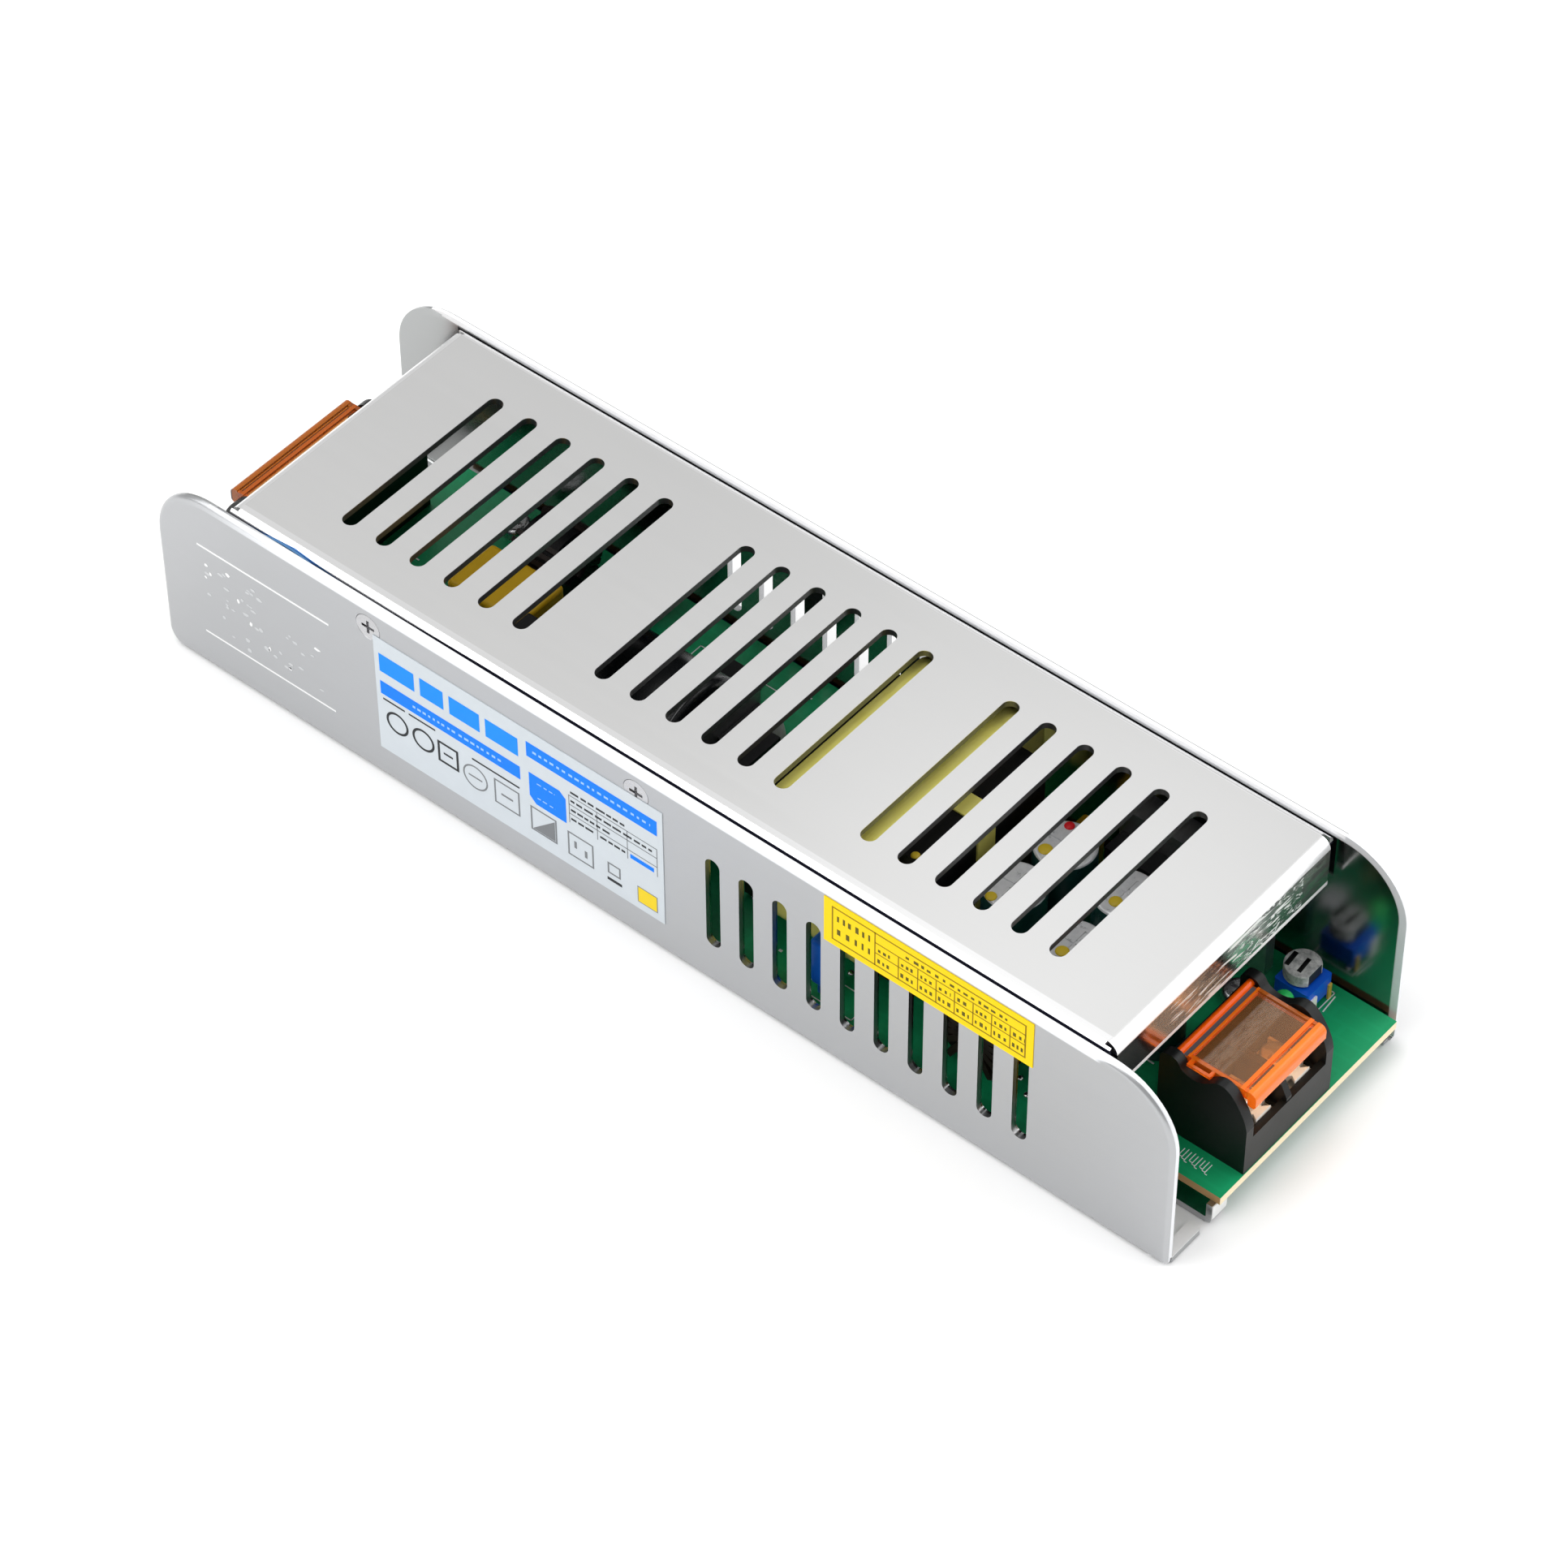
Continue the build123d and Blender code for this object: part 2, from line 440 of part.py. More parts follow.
# two small suppression capacitors, one block and one disc, and the bridge
sc = box(29.9, 33.1, -25.3, -22.0, PCB_Z1 + 3.2, 18.7)
sc = fillet(sc.edges(), 0.8)
for dx in (30.7, 32.3):
    sc = sc + box(dx - 0.25, dx + 0.25, -23.9, -23.4, PCB_Z1, PCB_Z1 + 4.2)
add("suppression_capacitors", sc, disc(-40.6, 18.6, PCB_Z1 + 6.6, 4.2, 3.2, 70))
br = box(-43.4, -39.9, -24.2, -4.5, PCB_Z1 + 3.5, 24.0)
br = fillet(br.edges().filter_by(Axis.X), 0.6)
for k in range(4):
    br = br + box(-42.0, -41.2, -22.8 + 5.2 * k, -21.8 + 5.2 * k, PCB_Z1, PCB_Z1 + 3.6)
add("bridge_rectifier", br)
# storage capacitor lying on the board
BC_R = 11.0
bc = cyl_x(-39.2, -9.2, -4.0, PCB_Z1 + BC_R + 0.1, BC_R)
bc = fillet(bc.edges().filter_by(GeomType.CIRCLE), 1.1)
groove = cyl_x(-37.6, -36.6, -4.0, PCB_Z1 + BC_R + 0.1, BC_R + 1) - cyl_x(-37.7, -36.5, -4.0, PCB_Z1 + BC_R + 0.1, BC_R - 0.7)
add("storage_capacitor", bc - groove)

# ---------------------------------------------------------------- switching stage
hs1 = box(-5.6, -3.6, -22.0, 3.6, PCB_Z1, 27.0)
for k in range(4):
    hs1 = hs1 + box(-7.6, -5.6, -21.0 + 7.2 * k, -19.8 + 7.2 * k, PCB_Z1 + 3.5, 27.0)
add("switch_heatsink", hs1)


def to220(x, y, face, w=10.0):
    """Transistor lying against a plate whose face is at x; face = +1 looks to +X."""
    b = box(0, 4.4, -w / 2, w / 2, PCB_Z1 + 4.5, PCB_Z1 + 13.6)
    b = b + box(0, 1.2, -w / 2, w / 2, PCB_Z1 + 13.6, PCB_Z1 + 18.4)
    b = b - cyl_x(-1, 2, 0, PCB_Z1 + 16.0, 1.7)
    for k in (-1, 0, 1):
        b = b + box(2.1, 2.7, k * 2.54 - 0.45, k * 2.54 + 0.45, PCB_Z1, PCB_Z1 + 4.6)
    if face < 0:
        b = Rot(0, 0, 180) * b
    return Pos(x, y, 0) * b


add("switch_transistors", to220(-3.55, -13.5, 1), to220(-3.55, -1.8, 1, 9.6))
add("controller_chips", box(-26.0, -16.2, 12.4, 18.6, PCB_Z1 + 0.1, PCB_Z1 + 3.4) +
    box(-25.5, -16.7, 11.6, 19.4, PCB_Z1, PCB_Z1 + 0.25),
    box(-2.8, 3.4, 13.2, 19.8, PCB_Z1 + 0.1, PCB_Z1 + 3.2) + box(-2.4, 3.0, 12.4, 20.6, PCB_Z1, PCB_Z1 + 0.25))

# ---------------------------------------------------------------- transformer
TY = 1.0
TZ0, TZ1 = 10.0, 32.6
core = box(9.5, 42.5, TY - 14, TY + 14, TZ0, TZ1)
core = core - box(15.0, 37.0, TY - 20, TY + 20, TZ0 + 5.0, TZ1 - 5.0) + box(14.5, 37.5, TY - 7, TY + 7, TZ0 + 5.0, TZ1 - 5.0)
core = core - box(15.0, 37.0, TY - 20, TY + 20, TZ1 - 5.0, TZ1 + 1) - box(15.0, 37.0, TY - 20, TY + 20, TZ0 - 1, TZ0 + 5.0)
core = core - box(9, 43, TY - 20, TY + 20, TZ0 - 1, TZ0)
add("transformer_core", core)
coil = box(15.2, 36.8, TY - 21, TY + 21, 9.0, 33.6) - box(14.9, 37.1, TY - 7.15, TY + 7.15, TZ0 + 4.85, TZ1 - 4.85)
coil = fillet([e for e in coil.edges().filter_by(Axis.X) if abs(abs(e.center().Y - TY) - 21) < 0.2], 4.0)
add("transformer_winding", coil)
bob = box(9.5, 42.5, TY - 17, TY + 17, 6.6, 8.9)
for k in range(6):
    for xx in (11.5, 40.5):
        bob = bob + box(xx - 0.5, xx + 0.5, TY - 14 + 5.4 * k, TY - 13 + 5.4 * k, PCB_Z1, 6.7)
add("transformer_base", bob)
band = box(37.1, 42.8, -2.6 + TY, 1.6 + TY, TZ1 + 0.02, TZ1 + 0.32) + box(42.52, 42.82, -2.6 + TY, 1.6 + TY, 12.0, TZ1 + 0.32)
add("core_tape", band)

# ---------------------------------------------------------------- output stage
hs2 = box(52.0, 80.0, 21.4, 23.6, PCB_Z1, 27.5)
hs2 = hs2 + box(52.0, 80.0, 18.6, 21.4, 25.6, 27.5)
add("output_heatsink", hs2)
rect = []
for x in (57.6, 69.6):
    b = Rot(0, 0, -90) * Pos(0, 0, 0) * box(0, 4.4, -5, 5, PCB_Z1 + 4.0, PCB_Z1 + 13.2)
    b = Pos(x, 21.35, 0) * b
    legs = None
    for k in (-1, 0, 1):
        l = box(x + k * 2.54 - 0.45, x + k * 2.54 + 0.45, 18.6, 19.2, PCB_Z1, PCB_Z1 + 4.2)
        legs = l if legs is None else legs + l
    rect.append(b + legs)
add("output_rectifiers", *rect)


def can(x, y, r, h):
    z0 = PCB_Z1 + 0.05
    c = cyl_z(x, y, z0, z0 + h, r)
    c = fillet(c.edges().filter_by(GeomType.CIRCLE).sort_by(Axis.Z)[-1:], 0.55)
    v = Pos(x, y, z0 + h) * (Box(r * 1.2, 0.35, 0.5) + Box(0.35, r * 1.2, 0.5))
    g = cyl_z(x, y, z0 + 2.0, z0 + 2.9, r + 1) - cyl_z(x, y, z0 + 1.9, z0 + 3.0, r - 0.45)
    return c - v - g


CANS = [(50.6, -2.6, 5.0, 20.0), (51.4, 8.6, 5.0, 20.0), (64.4, -6.2, 5.0, 20.0), (64.2, 6.6, 5.0, 20.0), (75.6, 1.0, 4.0, 14.0)]
add("output_capacitors", *[can(*c) for c in CANS])
ix, iy, iz = 58.0, -18.2, PCB_Z1 + 8.7
ring = Pos(ix, iy, iz) * Rot(90, 0, 0) * (Cylinder(7.0, 6.4) - Cylinder(3.4, 8))
wires = []
for a in range(-150, 151, 20):
    ang = radians(a + 90)
    rm = 5.2
    blk = Box(3.6 + 1.9, 8.0, 1.15) - Box(3.6 + 0.1, 6.5, 3)
    wires.append(Pos(ix + rm * cos(ang), iy, iz + rm * sin(ang)) * Rot(0, -(a + 90), 0) * blk)
add("output_choke_core", ring)
add("output_choke_coil", *wires)
# small parts that show between the large ones
smalls = []
for x, y, c in ((45.8, -10.5, 1.1), (76.0, -9.6, 1.1), (44.9, 13.4, 1.25), (81.0, 5.0, 1.0)):
    smalls.append(Pos(x, y, PCB_Z1 + c + 0.1) * Rot(90, 0, 0) * Cylinder(c, 5.4))
add("small_resistors", *smalls)
add("film_capacitors", fillet(box(43.9, 48.0, 17.2, 23.6, PCB_Z1 + 0.1, PCB_Z1 + 9.0).edges().filter_by(Axis.Z), 0.5),
    fillet(box(76.4, 81.0, -22.4, -16.4, PCB_Z1 + 0.1, PCB_Z1 + 8.0).edges().filter_by(Axis.Z), 0.5))


def blob(x, y, z0, rx, ry, rz):
    s = scale(Sphere(1.0), by=(rx, ry, rz))
    s = Pos(x, y, z0) * s
    return s & box(x - 20, x + 20, y - 20, y + 20, PCB_Z1 + 0.02, 60)


glue = []
glue.append(blob(57.4, 0.2, PCB_Z1 + 0.5, 3.6, 5.5, 10.0))
glue.append(blob(46.6, 3.0, PCB_Z1 + 0.5, 2.4, 4.0, 9.0))
glue.append(blob(-7.6, 9.4, PCB_Z1 + 0.5, 3.4, 3.4, 9.0))
body_like = parts["output_capacitors"]
trimmed = []
for g in glue:
    for nm in ("output_capacitors", "storage_capacitor", "switch_heatsink", "transformer_core", "transformer_base", "small_resistors"):
        for so in parts[nm].solids():
            g = g - so
    ss = sorted(g.solids(), key=lambda q: -q.volume)
    trimmed.append(ss[0])
add("glue_blobs", *trimmed)

# ---------------------------------------------------------------- labels
LBL_T = 0.12
add("rating_label", box(-53.6, 4.6, -WID / 2 - LBL_T, -WID / 2, 6.7, 31.4))
add("selector_sticker", box(35.7, 74.5, -WID / 2 - LBL_T, -WID / 2, 26.0, 35.5))

# ---------------------------------------------------------------- write
os.makedirs("parts", exist_ok=True)
for name, shape in parts.items():
    shape.label = name
    export_step(shape, os.path.join("parts", name + ".step"))
print(len(parts), "nodes")
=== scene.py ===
import bpy, bmesh
import math, random
from mathutils import Vector, Matrix


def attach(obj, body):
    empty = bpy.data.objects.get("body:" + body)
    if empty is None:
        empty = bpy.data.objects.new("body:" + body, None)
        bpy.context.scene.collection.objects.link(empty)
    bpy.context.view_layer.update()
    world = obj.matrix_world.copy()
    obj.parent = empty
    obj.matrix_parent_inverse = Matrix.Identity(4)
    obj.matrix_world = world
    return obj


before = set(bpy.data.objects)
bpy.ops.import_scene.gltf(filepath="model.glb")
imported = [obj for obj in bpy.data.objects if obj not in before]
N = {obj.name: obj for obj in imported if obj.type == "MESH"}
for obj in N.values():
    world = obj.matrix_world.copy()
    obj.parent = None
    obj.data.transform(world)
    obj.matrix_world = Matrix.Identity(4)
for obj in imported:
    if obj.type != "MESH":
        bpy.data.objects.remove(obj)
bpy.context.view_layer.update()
sc = bpy.context.scene
MM = 0.001

# ------------------------------------------------------------------ node helpers
def new_mat(name):
    m = bpy.data.materials.new(name)
    m.use_nodes = True
    nt = m.node_tree
    nt.nodes.clear()
    out = nt.nodes.new("ShaderNodeOutputMaterial")
    b = nt.nodes.new("ShaderNodeBsdfPrincipled")
    nt.links.new(b.outputs[0], out.inputs[0])
    return m, nt, b


def node(nt, kind, **kw):
    n = nt.nodes.new(kind)
    for k, v in kw.items():
        setattr(n, k, v)
    return n


def link(nt, a, b):
    nt.links.new(a, b)


def coords(nt):
    return node(nt, "ShaderNodeTexCoord").outputs["Object"]


def mapping(nt, vec, scale=(1, 1, 1), loc=(0, 0, 0), rot=(0, 0, 0)):
    m = node(nt, "ShaderNodeMapping")
    m.inputs["Scale"].default_value = scale
    m.inputs["Location"].default_value = loc
    m.inputs["Rotation"].default_value = rot
    link(nt, vec, m.inputs["Vector"])
    return m.outputs[0]


def noise(nt, vec, scale, detail=3.0, rough=0.55):
    n = node(nt, "ShaderNodeTexNoise")
    n.inputs["Scale"].default_value = scale
    n.inputs["Detail"].default_value = detail
    n.inputs["Roughness"].default_value = rough
    link(nt, vec, n.inputs["Vector"])
    return n.outputs["Fac"]


def ramp(nt, fac, stops, interp="LINEAR"):
    r = node(nt, "ShaderNodeValToRGB")
    r.color_ramp.interpolation = interp
    els = r.color_ramp.elements
    while len(els) < len(stops):
        els.new(0.5)
    for e, (p, c) in zip(els, stops):
        e.position = p
        e.color = (*c, 1) if len(c) == 3 else c
    link(nt, fac, r.inputs["Fac"])
    return r.outputs["Color"]


def math_n(nt, op, a, b=None, c=None, clamp=False):
    m = node(nt, "ShaderNodeMath", operation=op)
    m.use_clamp = clamp
    for i, v in enumerate((a, b, c)):
        if v is None:
            continue
        if isinstance(v, (int, float)):
            m.inputs[i].default_value = v
        else:
            link(nt, v, m.inputs[i])
    return m.outputs[0]


def mix(nt, fac, a, b):
    m = node(nt, "ShaderNodeMix", data_type="RGBA")
    if isinstance(fac, (int, float)):
        m.inputs["Factor"].default_value = fac
    else:
        link(nt, fac, m.inputs["Factor"])
    for key, v in (("A", a), ("B", b)):
        s = [i for i in m.inputs if i.name == key and i.type == "RGBA"][0]
        if isinstance(v, tuple):
            s.default_value = (*v, 1) if len(v) == 3 else v
        else:
            link(nt, v, s)
    return [o for o in m.outputs if o.type == "RGBA"][0]


def bump(nt, bsdf, height, strength=0.2, dist=0.0001, normal=None):
    b = node(nt, "ShaderNodeBump")
    b.inputs["Strength"].default_value = strength
    b.inputs["Distance"].default_value = dist
    link(nt, height, b.inputs["Height"])
    if normal is not None:
        link(nt, normal, b.inputs["Normal"])
    link(nt, b.outputs[0], bsdf.inputs["Normal"])
    return b.outputs[0]


def sep(nt, vec):
    s = node(nt, "ShaderNodeSeparateXYZ")
    link(nt, vec, s.inputs[0])
    return s.outputs


def between(nt, v, lo, hi):
    """1 where lo < v < hi."""
    return math_n(nt, "MULTIPLY", math_n(nt, "GREATER_THAN", v, lo), math_n(nt, "LESS_THAN", v, hi))


def set_slots(obj, mats):
    obj.data.materials.clear()
    for m in mats:
        obj.data.materials.append(m)


def dress(name, mat):
    set_slots(N[name], [mat])


# ------------------------------------------------------------------ materials
def smooth(nt, v, lo, hi):
    """0 below lo, 1 above hi, eased between."""
    r = node(nt, "ShaderNodeMapRange")
    r.interpolation_type = "SMOOTHSTEP"
    r.inputs["From Min"].default_value = lo
    r.inputs["From Max"].default_value = hi
    link(nt, v, r.inputs["Value"])
    return r.outputs["Result"]


def both(nt, *ms):
    out = ms[0]
    for v in ms[1:]:
        out = math_n(nt, "MULTIPLY", out, v)
    return out


def either(nt, *ms):
    out = ms[0]
    for v in ms[1:]:
        out = math_n(nt, "MAXIMUM", out, v)
    return out


def sheet(name, tint, rough, regions=(), streak=0.05, s=(18, 900, 900)):
    """Rolled sheet: fine streaks along the roll and faint cloudiness; each region has its own colour and roughness, and
    several regions are painted highlights and painted shade.
    """
    m, nt, b = new_mat(name)
    co = coords(nt)
    st = noise(nt, mapping(nt, co, s), 1.0, 4, 0.6)
    st2 = noise(nt, mapping(nt, co, tuple(v * 3.1 for v in s)), 1.0, 3, 0.6)
    cloud = noise(nt, co, 22.0, 3)
    col = mix(nt, math_n(nt, "MULTIPLY", st, 0.3), tint, tuple(v * 0.93 for v in tint))
    col = mix(nt, math_n(nt, "MULTIPLY", cloud, 0.25), col, tuple(min(1, v * 1.06) for v in tint))
    r = math_n(nt, "ADD", math_n(nt, "MULTIPLY", st, 0.05), rough - 0.025)
    r = math_n(nt, "ADD", r, math_n(nt, "MULTIPLY", cloud, 0.02))
    met = 1.0
    for fn, t2, r2, *m2 in regions:
        k = fn(nt, co)
        if m2 or not isinstance(met, float):
            met = math_n(nt, "ADD", math_n(nt, "MULTIPLY", met, math_n(nt, "SUBTRACT", 1.0, k)), math_n(nt, "MULTIPLY", k, m2[0] if m2 else 1.0))
        col = mix(nt, k, col, mix(nt, math_n(nt, "MULTIPLY", st, 0.4), t2, tuple(v * 0.86 for v in t2)))
        inv = math_n(nt, "SUBTRACT", 1.0, k)
        r = math_n(nt, "ADD", math_n(nt, "MULTIPLY", r, inv), math_n(nt, "MULTIPLY", k, r2))
    link(nt, col, b.inputs["Base Color"])
    if isinstance(met, float):
        b.inputs["Metallic"].default_value = met
    else:
        link(nt, met, b.inputs["Metallic"])
    link(nt, r, b.inputs["Roughness"])
    bump(nt, b, math_n(nt, "ADD", st, math_n(nt, "MULTIPLY", st2, 0.5)), streak, 0.00003)
    return m


def absx(nt, co):
    return math_n(nt, "ABSOLUTE", sep(nt, co)[0])


def absy(nt, co):
    return math_n(nt, "ABSOLUTE", sep(nt, co)[1])


def zz(nt, co):
    return sep(nt, co)[2]


def wall_reach(nt, co):
    """Distance from the centres of the big ear corners: 12 mm on the rim of a wall."""
    dx = math_n(nt, "MAXIMUM", math_n(nt, "SUBTRACT", absx(nt, co), 0.088), 0.0)
    dz = math_n(nt, "MAXIMUM", math_n(nt, "SUBTRACT", zz(nt, co), 0.0252), 0.0)
    return math_n(nt, "SQRT", math_n(nt, "ADD", math_n(nt, "MULTIPLY", dx, dx), math_n(nt, "MULTIPLY", dz, dz)))


def in_inner(nt, co):
    return both(nt, math_n(nt, "LESS_THAN", absy(nt, co), 0.0279), math_n(nt, "GREATER_THAN", zz(nt, co), 0.0011))


def in_near_gap_painted_shade(nt, co):
    """Painted shade on the inner face of the near wall where the cover stands against it."""
    y = sep(nt, co)[1]
    return both(nt, between(nt, y, -0.02757, -0.0268), math_n(nt, "GREATER_THAN", zz(nt, co), 0.0290),
                between(nt, sep(nt, co)[0], -0.0864, 0.0885))


# Painted highlight: the top of the floor's finger tab at the near end, painted near white.
def in_finger_painted_highlight(nt, co):
    x, y, z = sep(nt, co)
    return both(nt, math_n(nt, "GREATER_THAN", x, 0.0971), math_n(nt, "LESS_THAN", y, -0.0190), between(nt, z, 0.0011, 0.0013),
                math_n(nt, "GREATER_THAN", y, -0.0274))


# Painted highlight: the end lip's outer face, painted near white.
def in_lug_face_painted_highlight(nt, co):
    x, y, z = sep(nt, co)
    return both(nt, math_n(nt, "GREATER_THAN", x, 0.10005), math_n(nt, "LESS_THAN", absy(nt, co), 0.0185), math_n(nt, "LESS_THAN", z, 0.0043))


# Painted shade on the walls' inner faces above the cover's skirt, in the gap behind it.
def in_gap_painted_shade(nt, co):
    return both(nt, math_n(nt, "LESS_THAN", absy(nt, co), 0.0279), math_n(nt, "LESS_THAN", absx(nt, co), 0.0866),
                smooth(nt, zz(nt, co), 0.0272, 0.0284))


# Painted highlight on the far wall's inner face above the cover.
def in_far_lip_painted_highlight(nt, co):
    return both(nt, math_n(nt, "GREATER_THAN", sep(nt, co)[1], 0.0270), math_n(nt, "GREATER_THAN", zz(nt, co), 0.0361),
                math_n(nt, "LESS_THAN", absx(nt, co), 0.0900))


def in_far_rim_painted_highlight(nt, co):
    """Painted highlight on the top edge of the far wall, bright like the near one."""
    x, y, z = sep(nt, co)
    return both(nt, between(nt, y, 0.0274, 0.02825), math_n(nt, "GREATER_THAN", z, 0.0364), between(nt, x, -0.0930, 0.0880))


def in_far_line_painted_shade(nt, co):
    """Painted shade: a dark line along its outermost corner."""
    x, y, z = sep(nt, co)
    return both(nt, math_n(nt, "GREATER_THAN", y, 0.02825), math_n(nt, "GREATER_THAN", z, 0.0364), between(nt, x, -0.0930, 0.0880))


def scribble(nt, co, lo, hi):
    """Long ragged flecks along Y, the pattern of the painted reflections."""
    n = node(nt, "ShaderNodeTexNoise")
    n.inputs["Scale"].default_value = 1.0
    n.inputs["Detail"].default_value = 4.0
    n.inputs["Roughness"].default_value = 0.65
    n.inputs["Distortion"].default_value = 1.6
    link(nt, mapping(nt, co, (900, 330, 900)), n.inputs["Vector"])
    return smooth(nt, n.outputs["Fac"], lo, hi)


def end_painted_reflection_flecks(nt, co):
    """Painted reflection of the board: dense light flecks at the far half, a few long ones nearer."""
    y = sep(nt, co)[1]
    dense = both(nt, scribble(nt, co, 0.555, 0.60), smooth(nt, y, 0.0005, 0.0070))
    n = node(nt, "ShaderNodeTexNoise")
    n.inputs["Scale"].default_value = 1.0
    n.inputs["Detail"].default_value = 2.0
    n.inputs["Distortion"].default_value = 0.8
    link(nt, mapping(nt, co, (700, 115, 1150), (0.7, 2.2, 1.1)), n.inputs["Vector"])
    long = both(nt, smooth(nt, n.outputs["Fac"], 0.585, 0.625), smooth(nt, y, -0.0145, -0.0105))
    return both(nt, in_end_flange(nt, co), either(nt, dense, long), math_n(nt, "LESS_THAN", y, 0.0190),
                math_n(nt, "GREATER_THAN", sep(nt, co)[0], 0.0))


# Painted dark reflections in blotches on the end flange of the output end.
def end_painted_dark_reflection(nt, co):
    n = noise(nt, mapping(nt, co, (500, 260, 1300), (3.1, 1.7, 0.4)), 1.0, 4, 0.6)
    return both(nt, in_end_flange(nt, co), smooth(nt, n, 0.49, 0.56), smooth(nt, sep(nt, co)[1], -0.014, -0.002),
                math_n(nt, "GREATER_THAN", sep(nt, co)[0], 0.0))


def in_rim_painted_highlight(nt, co):
    """Painted highlight on the walls' top edge: whole rounding along the top, only the flat edge round the right-hand
    corner.
    """
    x, y, z = sep(nt, co)
    ay = absy(nt, co)
    far = math_n(nt, "GREATER_THAN", y, 0.0274)
    near = math_n(nt, "LESS_THAN", y, -0.02759)
    lim = math_n(nt, "SUBTRACT", 0.0289, math_n(nt, "MULTIPLY", smooth(nt, x, 0.083, 0.0925), 0.00068))
    flat = smooth(nt, math_n(nt, "SUBTRACT", lim, ay), -0.00006, 0.00006)
    return both(nt, smooth(nt, wall_reach(nt, co), 0.01045, 0.01080), either(nt, far, near), either(nt, far, flat),
                smooth(nt, x, -0.0960, -0.0700))


# Painted shade on the cover's side flanges and the lower part of the near bend, where the cover stands against the
# walls.
def in_flange_painted_shade(nt, co):
    y, z = sep(nt, co)[1], zz(nt, co)
    start = smooth(nt, sep(nt, co)[0], -0.060, -0.030)
    line_top = math_n(nt, "ADD", 0.03625, math_n(nt, "MULTIPLY", start, 0.00031))
    near = both(nt, math_n(nt, "LESS_THAN", y, -0.0256), math_n(nt, "LESS_THAN", math_n(nt, "SUBTRACT", z, line_top), 0.0))
    far = both(nt, math_n(nt, "GREATER_THAN", y, 0.0256), math_n(nt, "LESS_THAN", z, 0.0354))
    return either(nt, near, far)


def in_film_painted_reflection(nt, co):
    """Painted reflection: where the blue sheet shows again, reflected in the bend of the cover."""
    x, y, z = sep(nt, co)
    top = math_n(nt, "SUBTRACT", 0.03672, math_n(nt, "MULTIPLY", math_n(nt, "ABSOLUTE", math_n(nt, "ADD", x, 0.0715)), 0.045))
    return both(nt, math_n(nt, "LESS_THAN", y, -0.0256), between(nt, x, -0.0815, -0.0615), math_n(nt, "LESS_THAN", math_n(nt, "SUBTRACT", z, top), 0.0))


def in_end_flange(nt, co):
    return both(nt, math_n(nt, "GREATER_THAN", absx(nt, co), 0.0852), math_n(nt, "LESS_THAN", zz(nt, co), 0.0352),
                math_n(nt, "LESS_THAN", absy(nt, co), 0.0262))


# Painted highlight: a light band along the lower edge of both end flanges.
def in_end_edge_painted_highlight(nt, co):
    return both(nt, math_n(nt, "GREATER_THAN", absx(nt, co), 0.0848), math_n(nt, "LESS_THAN", zz(nt, co), 0.02835))


# Painted shade in the slots' walls and on the cover's underside.
def in_slot_painted_shade(nt, co):
    return both(nt, math_n(nt, "LESS_THAN", zz(nt, co), 0.03696), math_n(nt, "LESS_THAN", absy(nt, co), 0.0246),
                math_n(nt, "LESS_THAN", absx(nt, co), 0.0832))


# Painted highlight on the cover's bends along the sides and ends, painted near white.
def in_bend_painted_highlight(nt, co):
    x, y, z = sep(nt, co)
    near = both(nt, math_n(nt, "LESS_THAN", y, 0.0), smooth(nt, absy(nt, co), 0.0244, 0.0246))
    far = both(nt, math_n(nt, "GREATER_THAN", y, 0.0), smooth(nt, absy(nt, co), 0.0254, 0.0256))
    side = either(nt, near, far, math_n(nt, "GREATER_THAN", x, 0.08555), math_n(nt, "LESS_THAN", x, -0.08390))
    low = either(nt, math_n(nt, "GREATER_THAN", z, 0.0354),
                 both(nt, math_n(nt, "GREATER_THAN", absx(nt, co), 0.0850), math_n(nt, "GREATER_THAN", z, 0.0353)))
    return both(nt, side, low)


M = {}
# Chassis regions: painted shade in the gap behind the cover, on the near wall's inner face and along the far wall's
# outer corner; painted highlights on the far wall's inner lip, the top rims, the floor's finger tab and the end lip's
# face.
M["chassis"] = sheet("sheet_aluminium", (0.463, 0.470, 0.480), 0.30,
                     [(in_inner, (0.42, 0.43, 0.43), 0.18), (in_gap_painted_shade, (0.012, 0.012, 0.014), 0.5), (in_far_lip_painted_highlight, (0.93, 0.93, 0.93), 0.6, 0.15), (in_rim_painted_highlight, (0.86, 0.875, 0.90), 0.45, 0.45),
                      (in_far_rim_painted_highlight, (0.96, 0.96, 0.97), 0.5, 0.0), (in_far_line_painted_shade, (0.10, 0.10, 0.105), 0.5, 0.9),
                      (in_near_gap_painted_shade, (0.012, 0.014, 0.030), 0.6), (in_finger_painted_highlight, (0.97, 0.97, 0.97), 0.55), (in_lug_face_painted_highlight, (0.97, 0.97, 0.97), 0.5)], 0.04)
# Cover regions: painted highlights on the bends and along the end flanges' lower edge; painted shade in the slots, on
# the underside and on the side flanges; a painted reflection of the blue sheet in the near bend; painted reflections on
# the output end flange, light flecks and dark blotches.
M["cover"] = sheet("cover_aluminium", (0.775, 0.775, 0.770), 0.34,
                   [(in_bend_painted_highlight, (0.99, 0.99, 0.99), 0.30), (in_slot_painted_shade, (0.20, 0.20, 0.20), 0.45), (in_flange_painted_shade, (0.015, 0.016, 0.03), 0.6), (in_film_painted_reflection, (0.07, 0.19, 0.46), 0.4),
                    (in_end_flange, (0.55, 0.55, 0.54), 0.13), (end_painted_dark_reflection, (0.22, 0.22, 0.22), 0.25), (end_painted_reflection_flecks, (0.90, 0.92, 0.90), 0.55),
                    (in_end_edge_painted_highlight, (0.95, 0.93, 0.93), 0.6)], 0.05)
M["heatsink"] = sheet("heatsink_aluminium", (0.62, 0.62, 0.63), 0.38, (), 0.15)


